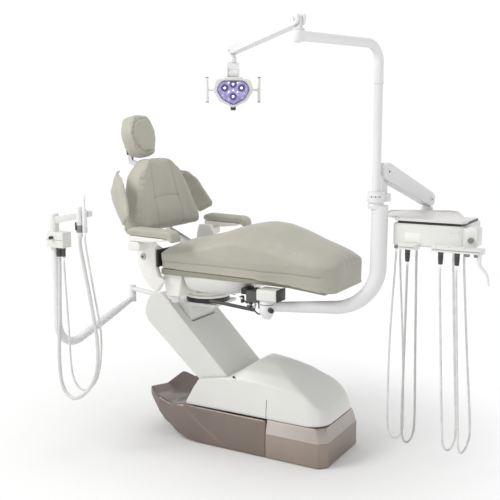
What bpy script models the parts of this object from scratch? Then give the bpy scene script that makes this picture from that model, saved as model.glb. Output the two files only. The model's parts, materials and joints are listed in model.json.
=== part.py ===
"""Dental chair with light, delivery head and assistant's arm.

Metres, +Z up. +X points to the patient's feet, +Y to the patient's left.
The origin is on the floor under the base plate.
"""

import math

import bmesh
import bpy
from mathutils import Matrix, Vector

# ---------------------------------------------------------------- dimensions
GAP = 0.0003  # running gap between touching pieces

BASE_HALF = 0.19  # half width of skirt and cover
SKIRT_TOP = 0.168
SEAM_X = 0.305  # joint between front and rear skirt
SKIRT_FRONT = 0.587

ARM_LOW = (0.115, 0.217)  # lower lift pivot, (x, z)
ARM_LENGTH = 0.50
ARM_ANGLE = math.radians(135.5)
ARM_HIGH = (
    ARM_LOW[0] + ARM_LENGTH * math.cos(ARM_ANGLE),
    ARM_LOW[1] + ARM_LENGTH * math.sin(ARM_ANGLE),
)
LINK_OFFSET = (-0.0275, -0.0476)  # from each main pivot to the level link's pivot
PIN_R = 0.012
LEVEL_PIN_R = 0.006
ARM_HALF = 0.150
ARM_THICK = 0.122
KNUCKLE_R = 0.117  # round end shared by lift arm cover and carriage shroud

TURN_X = -0.10  # turntable axis
TURN_R = 0.10
TURN_Z = 0.613

SEAT_HALF = 0.27
TOE_HALF = 0.205
TOE_X = 0.615

HIP = (-0.275, 0.848)  # backrest hinge, (x, z)
HIP_CENTRE = (-0.121, 0.861)  # centre of the side arms' curve
BACK_LEAN = math.radians(12.0)

HUB = (0.336, -0.235)  # radius arm swivel
HUB_Z = 0.70
POST = (0.735, -0.015)
POST_R = 0.035
POST_TOP = 1.105
POLE = (0.721, -0.023)  # light pole and delivery swivel axis
POLE_R = 0.0175
RING_Z = 1.588
TOP_TUBE_Z = 1.742
LIGHT_SWIVEL = (0.590, -0.478)
LIGHT_END = (0.068, -0.050)
LIGHT_ARM_Z = (1.800, 1.742)
LAMP_FACE = math.radians(-59.4)  # heading of the lamp's beam

FLEX_LOW = (0.7314, 0.0361, 1.240)
FLEX_END = (0.803, 0.400, 1.100)
HEAD_Z = 0.945
TRAY_Z = 1.046

AIDE_MOUNT = (-0.185, -0.140)
AIDE_ELBOW = (-0.497, -0.050)
AIDE_POST = (-0.530, -0.540)

# ------------------------------------------------------------------ scene
for old in list(bpy.data.objects):
    bpy.data.objects.remove(old, do_unlink=True)

PARTS = bpy.data.collections.new("dental_chair")
CUTTERS = bpy.data.collections.new("cutters")
bpy.context.scene.collection.children.link(PARTS)
bpy.context.scene.collection.children.link(CUTTERS)


# -------------------------------------------------------------- materials
def make_material(name, colour, roughness, metallic=0.0):
    mat = bpy.data.materials.new(name)
    mat.use_nodes = True
    shader = mat.node_tree.nodes["Principled BSDF"]
    shader.inputs["Base Color"].default_value = (*colour, 1.0)
    shader.inputs["Roughness"].default_value = roughness
    shader.inputs["Metallic"].default_value = metallic
    return mat


WHITE = make_material("white_shell", (0.83, 0.82, 0.80), 0.35)
TAUPE = make_material("taupe_skirt", (0.27, 0.22, 0.19), 0.38, 0.55)
IRON = make_material("cast_base", (0.10, 0.10, 0.10), 0.7, 0.6)
STEEL = make_material("steel", (0.55, 0.55, 0.56), 0.35, 1.0)
PAINT = make_material("white_paint", (0.80, 0.80, 0.79), 0.4, 0.1)
SAGE = make_material("sage_vinyl", (0.45, 0.43, 0.35), 0.55)
BLACK = make_material("black_plastic", (0.03, 0.03, 0.03), 0.5)
GREY = make_material("grey_tray", (0.52, 0.51, 0.50), 0.4)
DARK = make_material("dark_relief", (0.10, 0.10, 0.10), 0.6)
HOSE = make_material("hose_grey", (0.62, 0.62, 0.61), 0.5)
LENS = make_material("violet_lens", (0.20, 0.16, 0.55), 0.12)


# ---------------------------------------------------------------- helpers
def empty(name, location, parent=None):
    """Joint centre that carries the pieces of one moving body."""
    obj = bpy.data.objects.new(name, None)
    obj.empty_display_size = 0.03
    PARTS.objects.link(obj)
    obj.location = location
    if parent is not None:
        obj.parent = parent
        obj.location = Vector(location) - parent.matrix_world.translation
    bpy.context.view_layer.update()
    return obj


def place(mesh, name, mat, body):
    """Makes an object of a world-space mesh, its origin at the middle of the mesh."""
    low = Vector([min(v.co[k] for v in mesh.vertices) for k in range(3)])
    high = Vector([max(v.co[k] for v in mesh.vertices) for k in range(3)])
    middle = (low + high) / 2
    mesh.transform(Matrix.Translation(-middle))
    obj = bpy.data.objects.new(name, mesh)
    PARTS.objects.link(obj)
    obj.location = middle
    if mat is not None:
        mesh.materials.append(mat)
    if body is not None:
        obj.parent = body
        obj.location = middle - body.matrix_world.translation
    bpy.context.view_layer.update()
    return obj


def weld(mesh):
    """Joins coincident points and turns every face outward."""
    bm = bmesh.new()
    bm.from_mesh(mesh)
    bmesh.ops.remove_doubles(bm, verts=bm.verts, dist=1e-6)
    bmesh.ops.recalc_face_normals(bm, faces=bm.faces)
    bm.to_mesh(mesh)
    bm.free()
    return mesh


def soften(obj, width, segments=2, angle=40):
    bevel = obj.modifiers.new("bevel", "BEVEL")
    bevel.width = width
    bevel.segments = segments
    bevel.limit_method = "ANGLE"
    bevel.angle_limit = math.radians(angle)
    return obj


def smooth(obj):
    for face in obj.data.polygons:
        face.use_smooth = True
    return obj


def combine(obj, other, operation):
    """Boolean of a piece with a helper solid, which stays hidden."""
    change = obj.modifiers.new(operation.lower(), "BOOLEAN")
    change.operation = operation
    change.solver = "EXACT"
    change.object = other
    other.hide_render = True
    other.display_type = "WIRE"
    for home in list(other.users_collection):
        home.objects.unlink(other)
    CUTTERS.objects.link(other)
    return obj


def block(name, low, high, mat=None, body=None, bevel=0.0, segments=2):
    """Upright box between two corners."""
    bm = bmesh.new()
    bmesh.ops.create_cube(bm, size=1.0)
    mesh = bpy.data.meshes.new(name)
    bm.to_mesh(mesh)
    bm.free()
    size = Vector(high) - Vector(low)
    middle = (Vector(high) + Vector(low)) / 2
    mesh.transform(Matrix.Translation(middle) @ Matrix.Diagonal((*size, 1.0)))
    obj = place(mesh, name, mat, body)
    if bevel:
        soften(obj, bevel, segments)
    return obj


SIDE = Matrix(((1, 0, 0, 0), (0, 0, -1, 0), (0, 1, 0, 0), (0, 0, 0, 1)))  # (u, v) is (x, z)
FRONT = Matrix(((0, 0, 1, 0), (1, 0, 0, 0), (0, 1, 0, 0), (0, 0, 0, 1)))  # (u, v) is (y, z)
PLAN = Matrix.Identity(4)  # (u, v) is (x, y)


def slab(name, outline, low, high, view, mat=None, body=None, bevel=0.0, segments=2):
    """Outline filled and given thickness from low to high along the view's third axis."""
    curve = bpy.data.curves.new(name, "CURVE")
    curve.dimensions = "2D"
    curve.fill_mode = "BOTH"
    curve.extrude = (high - low) / 2
    spline = curve.splines.new("POLY")
    spline.points.add(len(outline) - 1)
    spline.use_cyclic_u = True
    for point, (u, v) in zip(spline.points, outline):
        point.co = (u, v, 0.0, 1.0)
    obj = bpy.data.objects.new(name, curve)
    PARTS.objects.link(obj)
    mesh = take_mesh(obj)
    middle = (high + low) / 2
    if view is SIDE:
        middle = -middle
    mesh.transform(view @ Matrix.Translation((0, 0, middle)))
    weld(mesh)
    obj = place(mesh, name, mat, body)
    if bevel:
        soften(obj, bevel, segments)
    return obj


def take_mesh(obj):
    """World-space mesh of a curve object, which is removed."""
    bpy.context.view_layer.update()
    graph = bpy.context.evaluated_depsgraph_get()
    mesh = bpy.data.meshes.new_from_object(obj.evaluated_get(graph))
    mesh.transform(obj.matrix_world)
    curve = obj.data
    bpy.data.objects.remove(obj, do_unlink=True)
    bpy.data.curves.remove(curve)
    return weld(mesh)


def tube(name, points, radius, mat, body, rings=2, scale=None):
    """Round bar along points; scale gives the relative radius at each point."""
    curve = bpy.data.curves.new(name, "CURVE")
    curve.dimensions = "3D"
    curve.bevel_depth = radius
    curve.bevel_resolution = rings
    curve.use_fill_caps = True
    spline = curve.splines.new("POLY")
    spline.points.add(len(points) - 1)
    for i, point in enumerate(points):
        spline.points[i].co = (*point, 1.0)
        spline.points[i].radius = scale[i] if scale else 1.0
    obj = bpy.data.objects.new(name, curve)
    PARTS.objects.link(obj)
    return smooth(place(take_mesh(obj), name, mat, body))


def rod(name, low, high, radius, mat, body, sides=20, bevel=0.0, radius_high=None):
    """Straight round bar between two points."""
    low = Vector(low)
    high = Vector(high)
    bm = bmesh.new()
    bmesh.ops.create_cone(
        bm,
        cap_ends=True,
        segments=sides,
        radius1=radius,
        radius2=radius if radius_high is None else radius_high,
        depth=(high - low).length,
    )
    mesh = bpy.data.meshes.new(name)
    bm.to_mesh(mesh)
    bm.free()
    turn = (high - low).to_track_quat("Z", "Y").to_matrix().to_4x4()
    mesh.transform(Matrix.Translation((low + high) / 2) @ turn)
    obj = place(mesh, name, mat, body)
    if bevel:
        soften(obj, bevel, 2)
    return smooth(obj)


def arc(centre, radius, start, end, steps):
    """Points of a circular arc, angles in degrees."""
    points = []
    for i in range(steps + 1):
        a = math.radians(start + (end - start) * i / steps)
        points.append((centre[0] + radius * math.cos(a), centre[1] + radius * math.sin(a)))
    return points


def rounded(corners, radius, steps=3):
    """Closed outline with every corner rounded; radius is one number or one per corner."""
    count = len(corners)
    radii = radius if isinstance(radius, (list, tuple)) else [radius] * count
    points = []
    for i in range(count):
        here = Vector(corners[i])
        before = (Vector(corners[i - 1]) - here).normalized()
        after = (Vector(corners[(i + 1) % count]) - here).normalized()
        half = before.angle(after) / 2
        if radii[i] < 1e-6:
            points.append(tuple(here))
            continue
        reach = radii[i] / math.tan(half)
        centre = here + (before + after).normalized() * radii[i] / math.sin(half)
        first = here + before * reach - centre
        last = here + after * reach - centre
        sweep = first.angle_signed(last)
        for k in range(steps + 1):
            turn = Matrix.Rotation(-sweep * k / steps, 2)
            points.append(tuple(centre + turn @ first))
    return points


def bend_path(corners, radius, steps=6):
    """Open 3-D path with its inner corners rounded."""
    points = [Vector(corners[0])]
    for i in range(1, len(corners) - 1):
        here = Vector(corners[i])
        before = (Vector(corners[i - 1]) - here).normalized()
        after = (Vector(corners[i + 1]) - here).normalized()
        half = before.angle(after) / 2
        reach = radius / math.tan(half)
        centre = here + (before + after).normalized() * radius / math.sin(half)
        first = here + before * reach - centre
        last = here + after * reach - centre
        for k in range(steps + 1):
            points.append(centre + first.slerp(last, k / steps).normalized() * radius)
    points.append(Vector(corners[-1]))
    return [tuple(p) for p in points]


def smooth_path(route, count):
    """Evenly spaced points on a smooth curve through the route points."""
    pts = [Vector(p) for p in route]
    pts = [2 * pts[0] - pts[1]] + pts + [2 * pts[-1] - pts[-2]]
    fine = []
    for i in range(1, len(pts) - 2):
        for k in range(24):
            t = k / 24
            a, b, c, d = pts[i - 1 : i + 3]
            fine.append(
                0.5
                * (
                    2 * b
                    + (c - a) * t
                    + (2 * a - 5 * b + 4 * c - d) * t**2
                    + (3 * b - a - 3 * c + d) * t**3
                )
            )
    fine.append(pts[-2])
    run = [0.0]
    for i in range(1, len(fine)):
        run.append(run[-1] + (fine[i] - fine[i - 1]).length)
    points = []
    j = 0
    for i in range(count):
        s = run[-1] * i / (count - 1)
        while j < len(run) - 2 and run[j + 1] < s:
            j += 1
        t = (s - run[j]) / max(run[j + 1] - run[j], 1e-9)
        points.append(tuple(fine[j].lerp(fine[j + 1], min(t, 1.0))))
    return points


def offset(pivot):
    """Level link's pivot that belongs to a main pivot."""
    return (pivot[0] + LINK_OFFSET[0], pivot[1] + LINK_OFFSET[1])


def arm_point(along, across):
    """Point (x, z) at a distance down the lift arm from its upper pivot and out of its axis."""
    u = (-math.cos(ARM_ANGLE), -math.sin(ARM_ANGLE))
    n = (math.sin(ARM_ANGLE), -math.cos(ARM_ANGLE))
    return (
        ARM_HIGH[0] + along * u[0] + across * n[0],
        ARM_HIGH[1] + along * u[1] + across * n[1],
    )


def bore(obj, pivot, radius, sides=16):
    """Cross hole along Y at a pivot (x, z)."""
    low = (pivot[0], -0.3, pivot[1])
    high = (pivot[0], 0.3, pivot[1])
    return combine(obj, rod(obj.name + "_bore", low, high, radius, None, None, sides), "DIFFERENCE")


def upright(point, heading):
    """View matrix of the vertical plane through a point; (u, v) is (distance, z)."""
    return Matrix.Translation((point[0], point[1], 0)) @ Matrix.Rotation(heading, 4, "Z") @ SIDE


def heading_of(start, end):
    return math.atan2(end[1] - start[1], end[0] - start[0])


def reach_of(start, end):
    return math.hypot(end[0] - start[0], end[1] - start[1])


# ================================================================== base
base = empty("base_root", (0, 0, 0))


def make_base_plate():
    outline = rounded([(-0.06, -0.165), (0.565, -0.165), (0.565, 0.165), (-0.06, 0.165)], 0.05)
    slab("base_plate", outline, 0.0, 0.060, PLAN, IRON, base, 0.004, 1)


def skirt_outline(inset):
    """Skirt footprint from the seam forward, with cut front corners."""
    half = BASE_HALF - inset
    front = SKIRT_FRONT - inset
    return [
        (SEAM_X + 0.001, -half),
        (front - 0.030, -half),
        (front, -half + 0.030),
        (front, half - 0.030),
        (front - 0.030, half),
        (SEAM_X + 0.001, half),
    ]


def make_skirt_front():
    """Front skirt: upright wall with a chamfer band under the cover."""
    wall = slab("skirt_front", skirt_outline(0.0), 0.002, SKIRT_TOP, PLAN, TAUPE, base)
    pocket = skirt_outline(0.018)
    pocket[0] = (SEAM_X - 0.02, pocket[0][1])
    pocket[-1] = (SEAM_X - 0.02, pocket[-1][1])
    combine(wall, slab("skirt_front_pocket", pocket, -0.02, 0.30, PLAN), "DIFFERENCE")
    return wall


def make_skirt_rear():
    """Rear skirt: side walls that run back into an upswept tail."""
    side = [
        (SEAM_X - 0.001, 0.002),
        (SEAM_X - 0.001, SKIRT_TOP),
        (-0.122, SKIRT_TOP),
        (-0.200, 0.160),
        (-0.290, 0.185),
        (-0.335, 0.214),
        (-0.345, 0.200),
        (-0.315, 0.160),
        (-0.235, 0.080),
        (-0.150, 0.024),
        (-0.050, 0.002),
    ]
    wall = slab("skirt_rear", side, -BASE_HALF, BASE_HALF, SIDE, TAUPE, base)
    plan = [
        (SEAM_X + 0.02, -0.25),
        (-0.08, -0.25),
        (-0.10, -BASE_HALF - 0.0005),
        (-0.26, -0.178),
        (-0.325, -0.150),
        (-0.360, -0.100),
        (-0.360, 0.100),
        (-0.325, 0.150),
        (-0.26, 0.178),
        (-0.10, BASE_HALF + 0.0005),
        (-0.08, 0.25),
        (SEAM_X + 0.02, 0.25),
    ]
    combine(wall, slab("skirt_rear_plan", plan, -0.1, 0.4, PLAN), "INTERSECT")
    half = BASE_HALF - 0.018
    pocket = block("skirt_rear_pocket", (-0.085, -half, -0.02), (SEAM_X + 0.02, half, 0.30))
    combine(wall, pocket, "DIFFERENCE")
    return wall


def make_base_cover():
    """White cover: a hump to the front, two cheeks beside the lift arm to the rear."""
    side = [
        (-0.122, SKIRT_TOP + GAP),
        (0.576, SKIRT_TOP + GAP),
        (0.580, 0.205),
        (0.566, 0.262),
        (0.510, 0.322),
        (0.415, 0.372),
        (0.300, 0.402),
        (0.222, 0.402),
        (0.115, 0.332),
        (-0.047, 0.300),
    ]
    cover = slab("base_cover", side, -BASE_HALF, BASE_HALF, SIDE, WHITE, base)
    arch = [
        (-BASE_HALF + 0.002, 0.10),
        (BASE_HALF - 0.002, 0.10),
        (BASE_HALF - 0.004, 0.250),
        (0.170, 0.320),
        (0.130, 0.368),
        (0.070, 0.395),
        (0.0, 0.404),
        (-0.070, 0.395),
        (-0.130, 0.368),
        (-0.170, 0.320),
        (-BASE_HALF + 0.004, 0.250),
    ]
    combine(cover, slab("cover_arch", arch, -0.3, 0.7, FRONT), "INTERSECT")
    plan = rounded(
        [(-0.3, -0.2), (0.578, -0.184), (0.578, 0.184), (-0.3, 0.2)], [0, 0.09, 0.09, 0], 4
    )
    combine(cover, slab("cover_plan", plan, 0.0, 0.6, PLAN), "INTERSECT")
    slot = arc(ARM_LOW, 0.0645, -90, 45.5, 7)
    slot += [arm_point(0.0, 0.0645), (-0.30, 0.70), (-0.30, 0.10)]
    half = ARM_HALF + 0.003
    combine(cover, slab("cover_slot", slot, -half, half, SIDE), "DIFFERENCE")
    room = [(0.12, 0.10), (0.46, 0.10), (0.46, 0.325), (0.215, 0.325), (0.215, 0.215), (0.12, 0.215)]
    combine(cover, slab("cover_room", room, -0.13, 0.13, SIDE), "DIFFERENCE")


def make_lift_stand():
    """Cast stand whose two cheeks carry both lower lift pivots."""
    outline = [(0.015, 0.0603), (0.22, 0.0603), (0.22, 0.085)]
    outline += arc(ARM_LOW, 0.034, -15, 150, 6) + [(0.055, 0.175)]
    stand = slab("lift_stand", outline, -0.080, 0.080, SIDE, IRON, base)
    room = [(-0.10, 0.072), (0.30, 0.072), (0.30, 0.40), (-0.10, 0.40)]
    combine(stand, slab("stand_room", room, -0.060, 0.060, SIDE), "DIFFERENCE")
    bore(stand, ARM_LOW, PIN_R + GAP)
    bore(stand, offset(ARM_LOW), LEVEL_PIN_R + GAP, 12)


def make_lift_motor():
    """Gear motor inside the cover that drives the lift."""
    rod("lift_motor", (0.335, 0, 0.0603), (0.335, 0, 0.290), 0.048, IRON, base, 16)


make_base_plate()
make_skirt_front()
make_skirt_rear()
make_base_cover()
make_lift_stand()
make_lift_motor()

# ============================================================== lift arm
lift_arm = empty("lift_arm", (ARM_LOW[0], 0, ARM_LOW[1]), base)
level_low = offset(ARM_LOW)
level_high = offset(ARM_HIGH)
level_link_body = empty("level_link_pivot", (level_low[0], 0, level_low[1]), base)
LINK_HALF = 0.0585


def link_outline(low, high, end_radius, steps=6):
    """Capsule from one pivot to the other."""
    heading = math.degrees(math.atan2(high[1] - low[1], high[0] - low[0]))
    outline = arc(low, end_radius, heading + 90, heading + 270, steps)
    return outline + arc(high, end_radius, heading - 90, heading + 90, steps)


def cross_pin(obj, pivot, radius, sides=16):
    """Pin along Y fixed in a link, its ends standing out on both sides."""
    low = (pivot[0], -0.0795, pivot[1])
    high = (pivot[0], 0.0795, pivot[1])
    return combine(obj, rod(obj.name + "_pin", low, high, radius, None, None, sides), "UNION")


def make_lift_arm_link():
    """Main bar of the parallelogram with both its pivot pins."""
    outline = link_outline(ARM_LOW, ARM_HIGH, 0.028)
    link = slab("lift_arm_link", outline, -LINK_HALF, LINK_HALF, SIDE, STEEL, lift_arm)
    cross_pin(link, ARM_LOW, PIN_R)
    cross_pin(link, ARM_HIGH, PIN_R)


def make_level_link():
    """Second bar of the parallelogram, which keeps the seat level."""
    outline = link_outline(level_low, level_high, 0.014)
    link = slab("level_link", outline, -0.045, 0.045, SIDE, STEEL, level_link_body)
    cross_pin(link, level_low, LEVEL_PIN_R, 12)
    cross_pin(link, level_high, LEVEL_PIN_R, 12)


def make_lift_arm_cover():
    """White cover of the lift arm, hollow to the rear, its upper end cut round the carriage."""
    half = ARM_THICK / 2
    end = KNUCKLE_R + 0.001
    swing = math.degrees(math.asin(half / end))
    down = math.degrees(ARM_ANGLE) - 180
    outline = arc(ARM_LOW, half, down + 90, down - 90, 8)
    outline += arc(ARM_HIGH, end, down - swing, down + swing, 8)
    cover = slab("lift_arm_cover", outline, -ARM_HALF, ARM_HALF, SIDE, WHITE, lift_arm)
    wall = 0.012
    pocket = [
        arm_point(-0.1, half - wall),
        arm_point(ARM_LENGTH, half - wall),
        arm_point(ARM_LENGTH, half + 0.01),
        arm_point(ARM_LENGTH + 0.1, half + 0.01),
        arm_point(ARM_LENGTH + 0.1, -half - 0.02),
        arm_point(-0.1, -half - 0.02),
    ]
    inner = ARM_HALF - wall
    combine(cover, slab("arm_pocket", pocket, -inner, inner, SIDE), "DIFFERENCE")


make_lift_arm_link()
make_level_link()
make_lift_arm_cover()

# ============================================================== carriage
carriage = empty("carriage", (ARM_HIGH[0], 0, ARM_HIGH[1]), lift_arm)


def make_carriage_frame():
    """Casting between upper pivots and turntable; its round faces follow the arm cover's end."""
    outline = arc(level_high, 0.018, 170, 330, 5)
    outline += arc(ARM_HIGH, 0.032, -35, 10, 3)
    outline += [(-0.195, 0.6098), (0.0, 0.6098), (0.0, 0.6250), (-0.275, 0.6250), (-0.292, 0.60)]
    frame = slab("carriage_frame", outline, -0.0983, 0.0983, SIDE, WHITE, carriage)
    channel = [(-0.35, 0.40), (-0.13, 0.40), (-0.13, 0.6095), (-0.22, 0.6095)]
    channel += [(-0.25, 0.604), (-0.35, 0.56)]
    combine(frame, slab("carriage_channel", channel, -0.0605, 0.0605, SIDE), "DIFFERENCE")
    bore(frame, ARM_HIGH, PIN_R + GAP)
    bore(frame, level_high, LEVEL_PIN_R + GAP, 12)
    swing = math.degrees(math.asin(ARM_THICK / 2 / KNUCKLE_R))
    down = math.degrees(ARM_ANGLE) - 180
    outline = arc(ARM_HIGH, KNUCKLE_R, down - swing, down + swing, 8)
    outline += [(-0.1958, 0.6085), (-0.272, 0.6085), (-0.292, 0.602), (-0.304, 0.585)]
    outline += [(-0.304, 0.5435)]
    for low, high in ((-ARM_HALF, -0.0980), (0.0980, ARM_HALF)):
        combine(frame, slab("shroud", outline, low, high, SIDE), "UNION")


def make_turntable_lower():
    rod(
        "turntable_lower",
        (TURN_X, 0, 0.6253),
        (TURN_X, 0, 0.6450),
        TURN_R,
        BLACK,
        carriage,
        32,
    )


make_carriage_frame()
make_turntable_lower()

# ================================================================== seat
seat = empty("seat", (TURN_X, 0, TURN_Z), carriage)


def make_seat_pedestal():
    """Casting between turntable and seat frame, with the upper race under it."""
    outline = [(-0.197, 0.7747), (-0.180, 0.674), (-0.112, 0.674), (-0.096, 0.7747)]
    pedestal = slab("seat_pedestal", outline, -0.222, 0.222, SIDE, WHITE, seat)
    race = rod("race", (TURN_X, 0, 0.6453), (TURN_X, 0, 0.6748), 0.094, None, None, 28)
    combine(pedestal, race, "UNION")
    mount = rod("aide_mount", (*AIDE_MOUNT, 0.6555), (*AIDE_MOUNT, 0.720), 0.022, None, None, 16)
    combine(pedestal, mount, "UNION")


def make_seat_frame():
    """Plate that carries the upholstery, bent down towards the toe."""
    outline = [(-0.188, 0.7750), (0.27, 0.7750), (0.42, 0.7625), (0.56, 0.7380)]
    outline += [(0.56, 0.7505), (0.42, 0.7757), (0.27, 0.7917), (-0.188, 0.7995)]
    frame = slab("seat_frame", outline, -0.245, 0.245, SIDE, STEEL, seat)
    corners = [(-0.3, -0.246), (0.25, -0.246), (0.58, -0.15)]
    corners += [(0.58, 0.15), (0.25, 0.246), (-0.3, 0.246)]
    plan = slab("frame_plan", rounded(corners, 0.02, 1), 0.6, 0.9, PLAN)
    combine(frame, plan, "INTERSECT")


def make_seat_pan():
    """White cover under the seat, rising to the front."""
    outline = [(-0.0915, 0.7747), (-0.086, 0.696), (-0.076, 0.6885), (0.150, 0.6885)]
    outline += [(0.190, 0.705), (0.225, 0.742), (0.270, 0.7747)]
    slab("seat_pan", outline, -0.205, 0.205, SIDE, WHITE, seat, 0.008)


def make_seat_cushion():
    """Seat and legrest in one, arched at the knee and narrower at the toe."""
    side = [(-0.195, 0.8003), (0.27, 0.7925), (0.42, 0.7765), (0.610, 0.7430)]
    side += [(0.618, 0.850), (0.604, 0.868), (0.550, 0.890), (0.420, 0.930), (0.315, 0.968)]
    side += [(0.250, 0.985), (0.190, 0.990), (0.130, 0.978), (0.030, 0.943), (-0.080, 0.916)]
    side += [(-0.165, 0.900), (-0.190, 0.885)]
    cushion = slab("seat_cushion", side, -SEAT_HALF, SEAT_HALF, SIDE, SAGE, seat)
    corners = [(-0.3, -SEAT_HALF), (0.30, -SEAT_HALF), (TOE_X, -TOE_HALF)]
    corners += [(TOE_X, TOE_HALF), (0.30, SEAT_HALF), (-0.3, SEAT_HALF)]
    plan = rounded(corners, [0.01, 0.25, 0.11, 0.11, 0.25, 0.01], 4)
    combine(cushion, slab("cushion_plan", plan, 0.6, 1.2, PLAN), "INTERSECT")
    soften(cushion, 0.014, 2, 50)


def make_side_arms():
    """Curved white brackets that carry backrest hinge and armrests."""
    outline = arc(HIP_CENTRE, 0.190, 156, 243, 12)
    outline += [(-0.166, 0.752), (-0.196, 0.764), (-0.208, 0.80), (-0.212, 0.895), (-0.232, 0.938)]
    for sign, side in ((-1, "right"), (1, "left")):
        inner = min(sign * 0.2285, sign * 0.2585)
        outer = max(sign * 0.2285, sign * 0.2585)
        arm = slab(f"side_arm_{side}", outline, inner, outer, SIDE, WHITE, seat)
        bore(arm, HIP, 0.0106, 16)
        bracket = [(-0.300, 0.884), (-0.236, 0.884), (-0.236, 0.9247), (-0.300, 0.9247)]
        inner = min(sign * 0.250, sign * 0.338)
        outer = max(sign * 0.250, sign * 0.338)
        shelf = slab("armrest_bracket", rounded(bracket, 0.012, 2), inner, outer, SIDE)
        combine(arm, shelf, "UNION")


def make_hub_support():
    """Block under the legrest that holds the radius arm, and the valve block beside it."""
    block("hub_block", (0.303, -0.274, 0.7125), (0.397, -0.196, 0.7615), WHITE, seat, 0.005, 1)
    valves = block("valve_block", (0.236, -0.235, 0.694), (0.296, -0.150, 0.7415), DARK, seat)
    fitting = rod("valve_fitting", (0.258, -0.214, 0.655), (0.258, -0.214, 0.700), 0.010, None, None, 12)
    combine(valves, fitting, "UNION")
    route = [(0.045, -0.214, 0.674), (0.150, -0.214, 0.666), (0.262, -0.214, 0.657)]
    combine(valves, tube("supply_pipe", route, 0.008, None, None), "UNION")


make_seat_pedestal()
make_seat_frame()
make_seat_pan()
make_seat_cushion()
make_side_arms()
make_hub_support()

# ============================================================== backrest
backrest = empty("backrest", (HIP[0], 0, HIP[1]), seat)
LEAN = (-math.sin(BACK_LEAN), math.cos(BACK_LEAN))  # up the back, (x, z)
BACK_FOOT = (-0.318, 0.940)  # lower end of the cushion's front face


def back_point(up, out):
    """Point (x, z) at a distance up the backrest and out of its front face."""
    return (
        BACK_FOOT[0] + up * LEAN[0] + out * LEAN[1],
        BACK_FOOT[1] + up * LEAN[1] - out * LEAN[0],
    )


BACK_VIEW = (
    Matrix.Translation((BACK_FOOT[0], 0, BACK_FOOT[1]))
    @ Matrix.Rotation(-BACK_LEAN, 4, "Y")
    @ FRONT
)  # (u, v) is (y, distance up the back); the third axis points forward


# rear and front edge of a wing from top to bottom, each (y, out of the back's face, up the back)
WING_EDGES = (
    ((0.168, -0.078, 0.300), (0.212, -0.064, 0.296)),
    ((0.228, -0.080, 0.262), (0.268, 0.000, 0.262)),
    ((0.262, -0.084, 0.215), (0.300, 0.026, 0.218)),
    ((0.272, -0.078, 0.175), (0.314, 0.040, 0.170)),
    ((0.284, -0.058, 0.130), (0.330, 0.052, 0.125)),
    ((0.296, -0.034, 0.085), (0.345, 0.058, 0.088)),
    ((0.306, -0.012, 0.050), (0.342, 0.050, 0.070)),
)
WING_SECTION = (
    (0.0, 0.004),
    (0.25, 0.014),
    (0.5, 0.017),
    (0.75, 0.014),
    (1.0, 0.004),
    (0.96, -0.006),
    (0.5, -0.004),
    (0.04, -0.006),
)  # share of the way to the front edge, distance outward


def make_back_frame():
    """Steel plate behind the cushion: lugs, hinge shaft and the headrest's guide in one."""
    outline = [(-0.150, 0.02), (0.150, 0.02), (0.146, 0.098), (0.262, 0.107), (0.262, 0.143)]
    outline += [(0.140, 0.152), (0.120, 0.27), (-0.120, 0.27), (-0.140, 0.152), (-0.262, 0.143)]
    outline += [(-0.262, 0.107), (-0.146, 0.098)]
    frame = slab("back_frame", outline, -0.0745, -0.0655, BACK_VIEW, STEEL, backrest)
    lug = [back_point(0.11, -0.070), back_point(0.11, -0.098), back_point(-0.03, -0.098)]
    lug += arc(HIP, 0.026, 190, 390, 8) + [back_point(0.0, -0.0748), back_point(0.03, -0.070)]
    for low, high in ((-0.1420, -0.1180), (0.1180, 0.1420)):
        combine(frame, slab("back_lug", lug, low, high, SIDE), "UNION")
    low = (HIP[0], -0.262, HIP[1])
    high = (HIP[0], 0.262, HIP[1])
    combine(frame, rod("hinge_shaft", low, high, 0.010, None, None, 12), "UNION")
    outline = [(-0.034, 0.14), (0.034, 0.14), (0.034, 0.26), (-0.034, 0.26)]
    combine(frame, slab("guide", outline, -0.0962, -0.072, BACK_VIEW), "UNION")
    slot = [(-0.0233, 0.10), (0.0233, 0.10), (0.0233, 0.30), (-0.0233, 0.30)]
    combine(frame, slab("guide_slot", slot, -0.0893, -0.0807, BACK_VIEW), "DIFFERENCE")


def make_back_shell():
    """Rear cover of the backrest."""
    outline = [(-0.262, 0.012), (0.262, 0.012), (0.225, 0.14), (0.150, 0.28), (-0.150, 0.28)]
    outline += [(-0.225, 0.14)]
    shell = slab("back_shell", rounded(outline, 0.03), -0.065, -0.0503, BACK_VIEW, WHITE, backrest)
    soften(shell, 0.005, 1)


def make_back_cushion():
    """Backrest cushion, wide at the hips and narrow at the shoulders."""
    corners = [(-0.265, 0.0), (0.265, 0.0), (0.262, 0.06), (0.175, 0.290), (0.110, 0.347)]
    corners += [(-0.110, 0.347), (-0.175, 0.290), (-0.262, 0.06)]
    outline = rounded(corners, [0.035, 0.035, 0.10, 0.06, 0.03, 0.03, 0.06, 0.10], 3)
    cushion = slab("back_cushion", outline, -0.050, 0.018, BACK_VIEW, SAGE, backrest)
    soften(cushion, 0.016, 2, 50)


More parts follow.
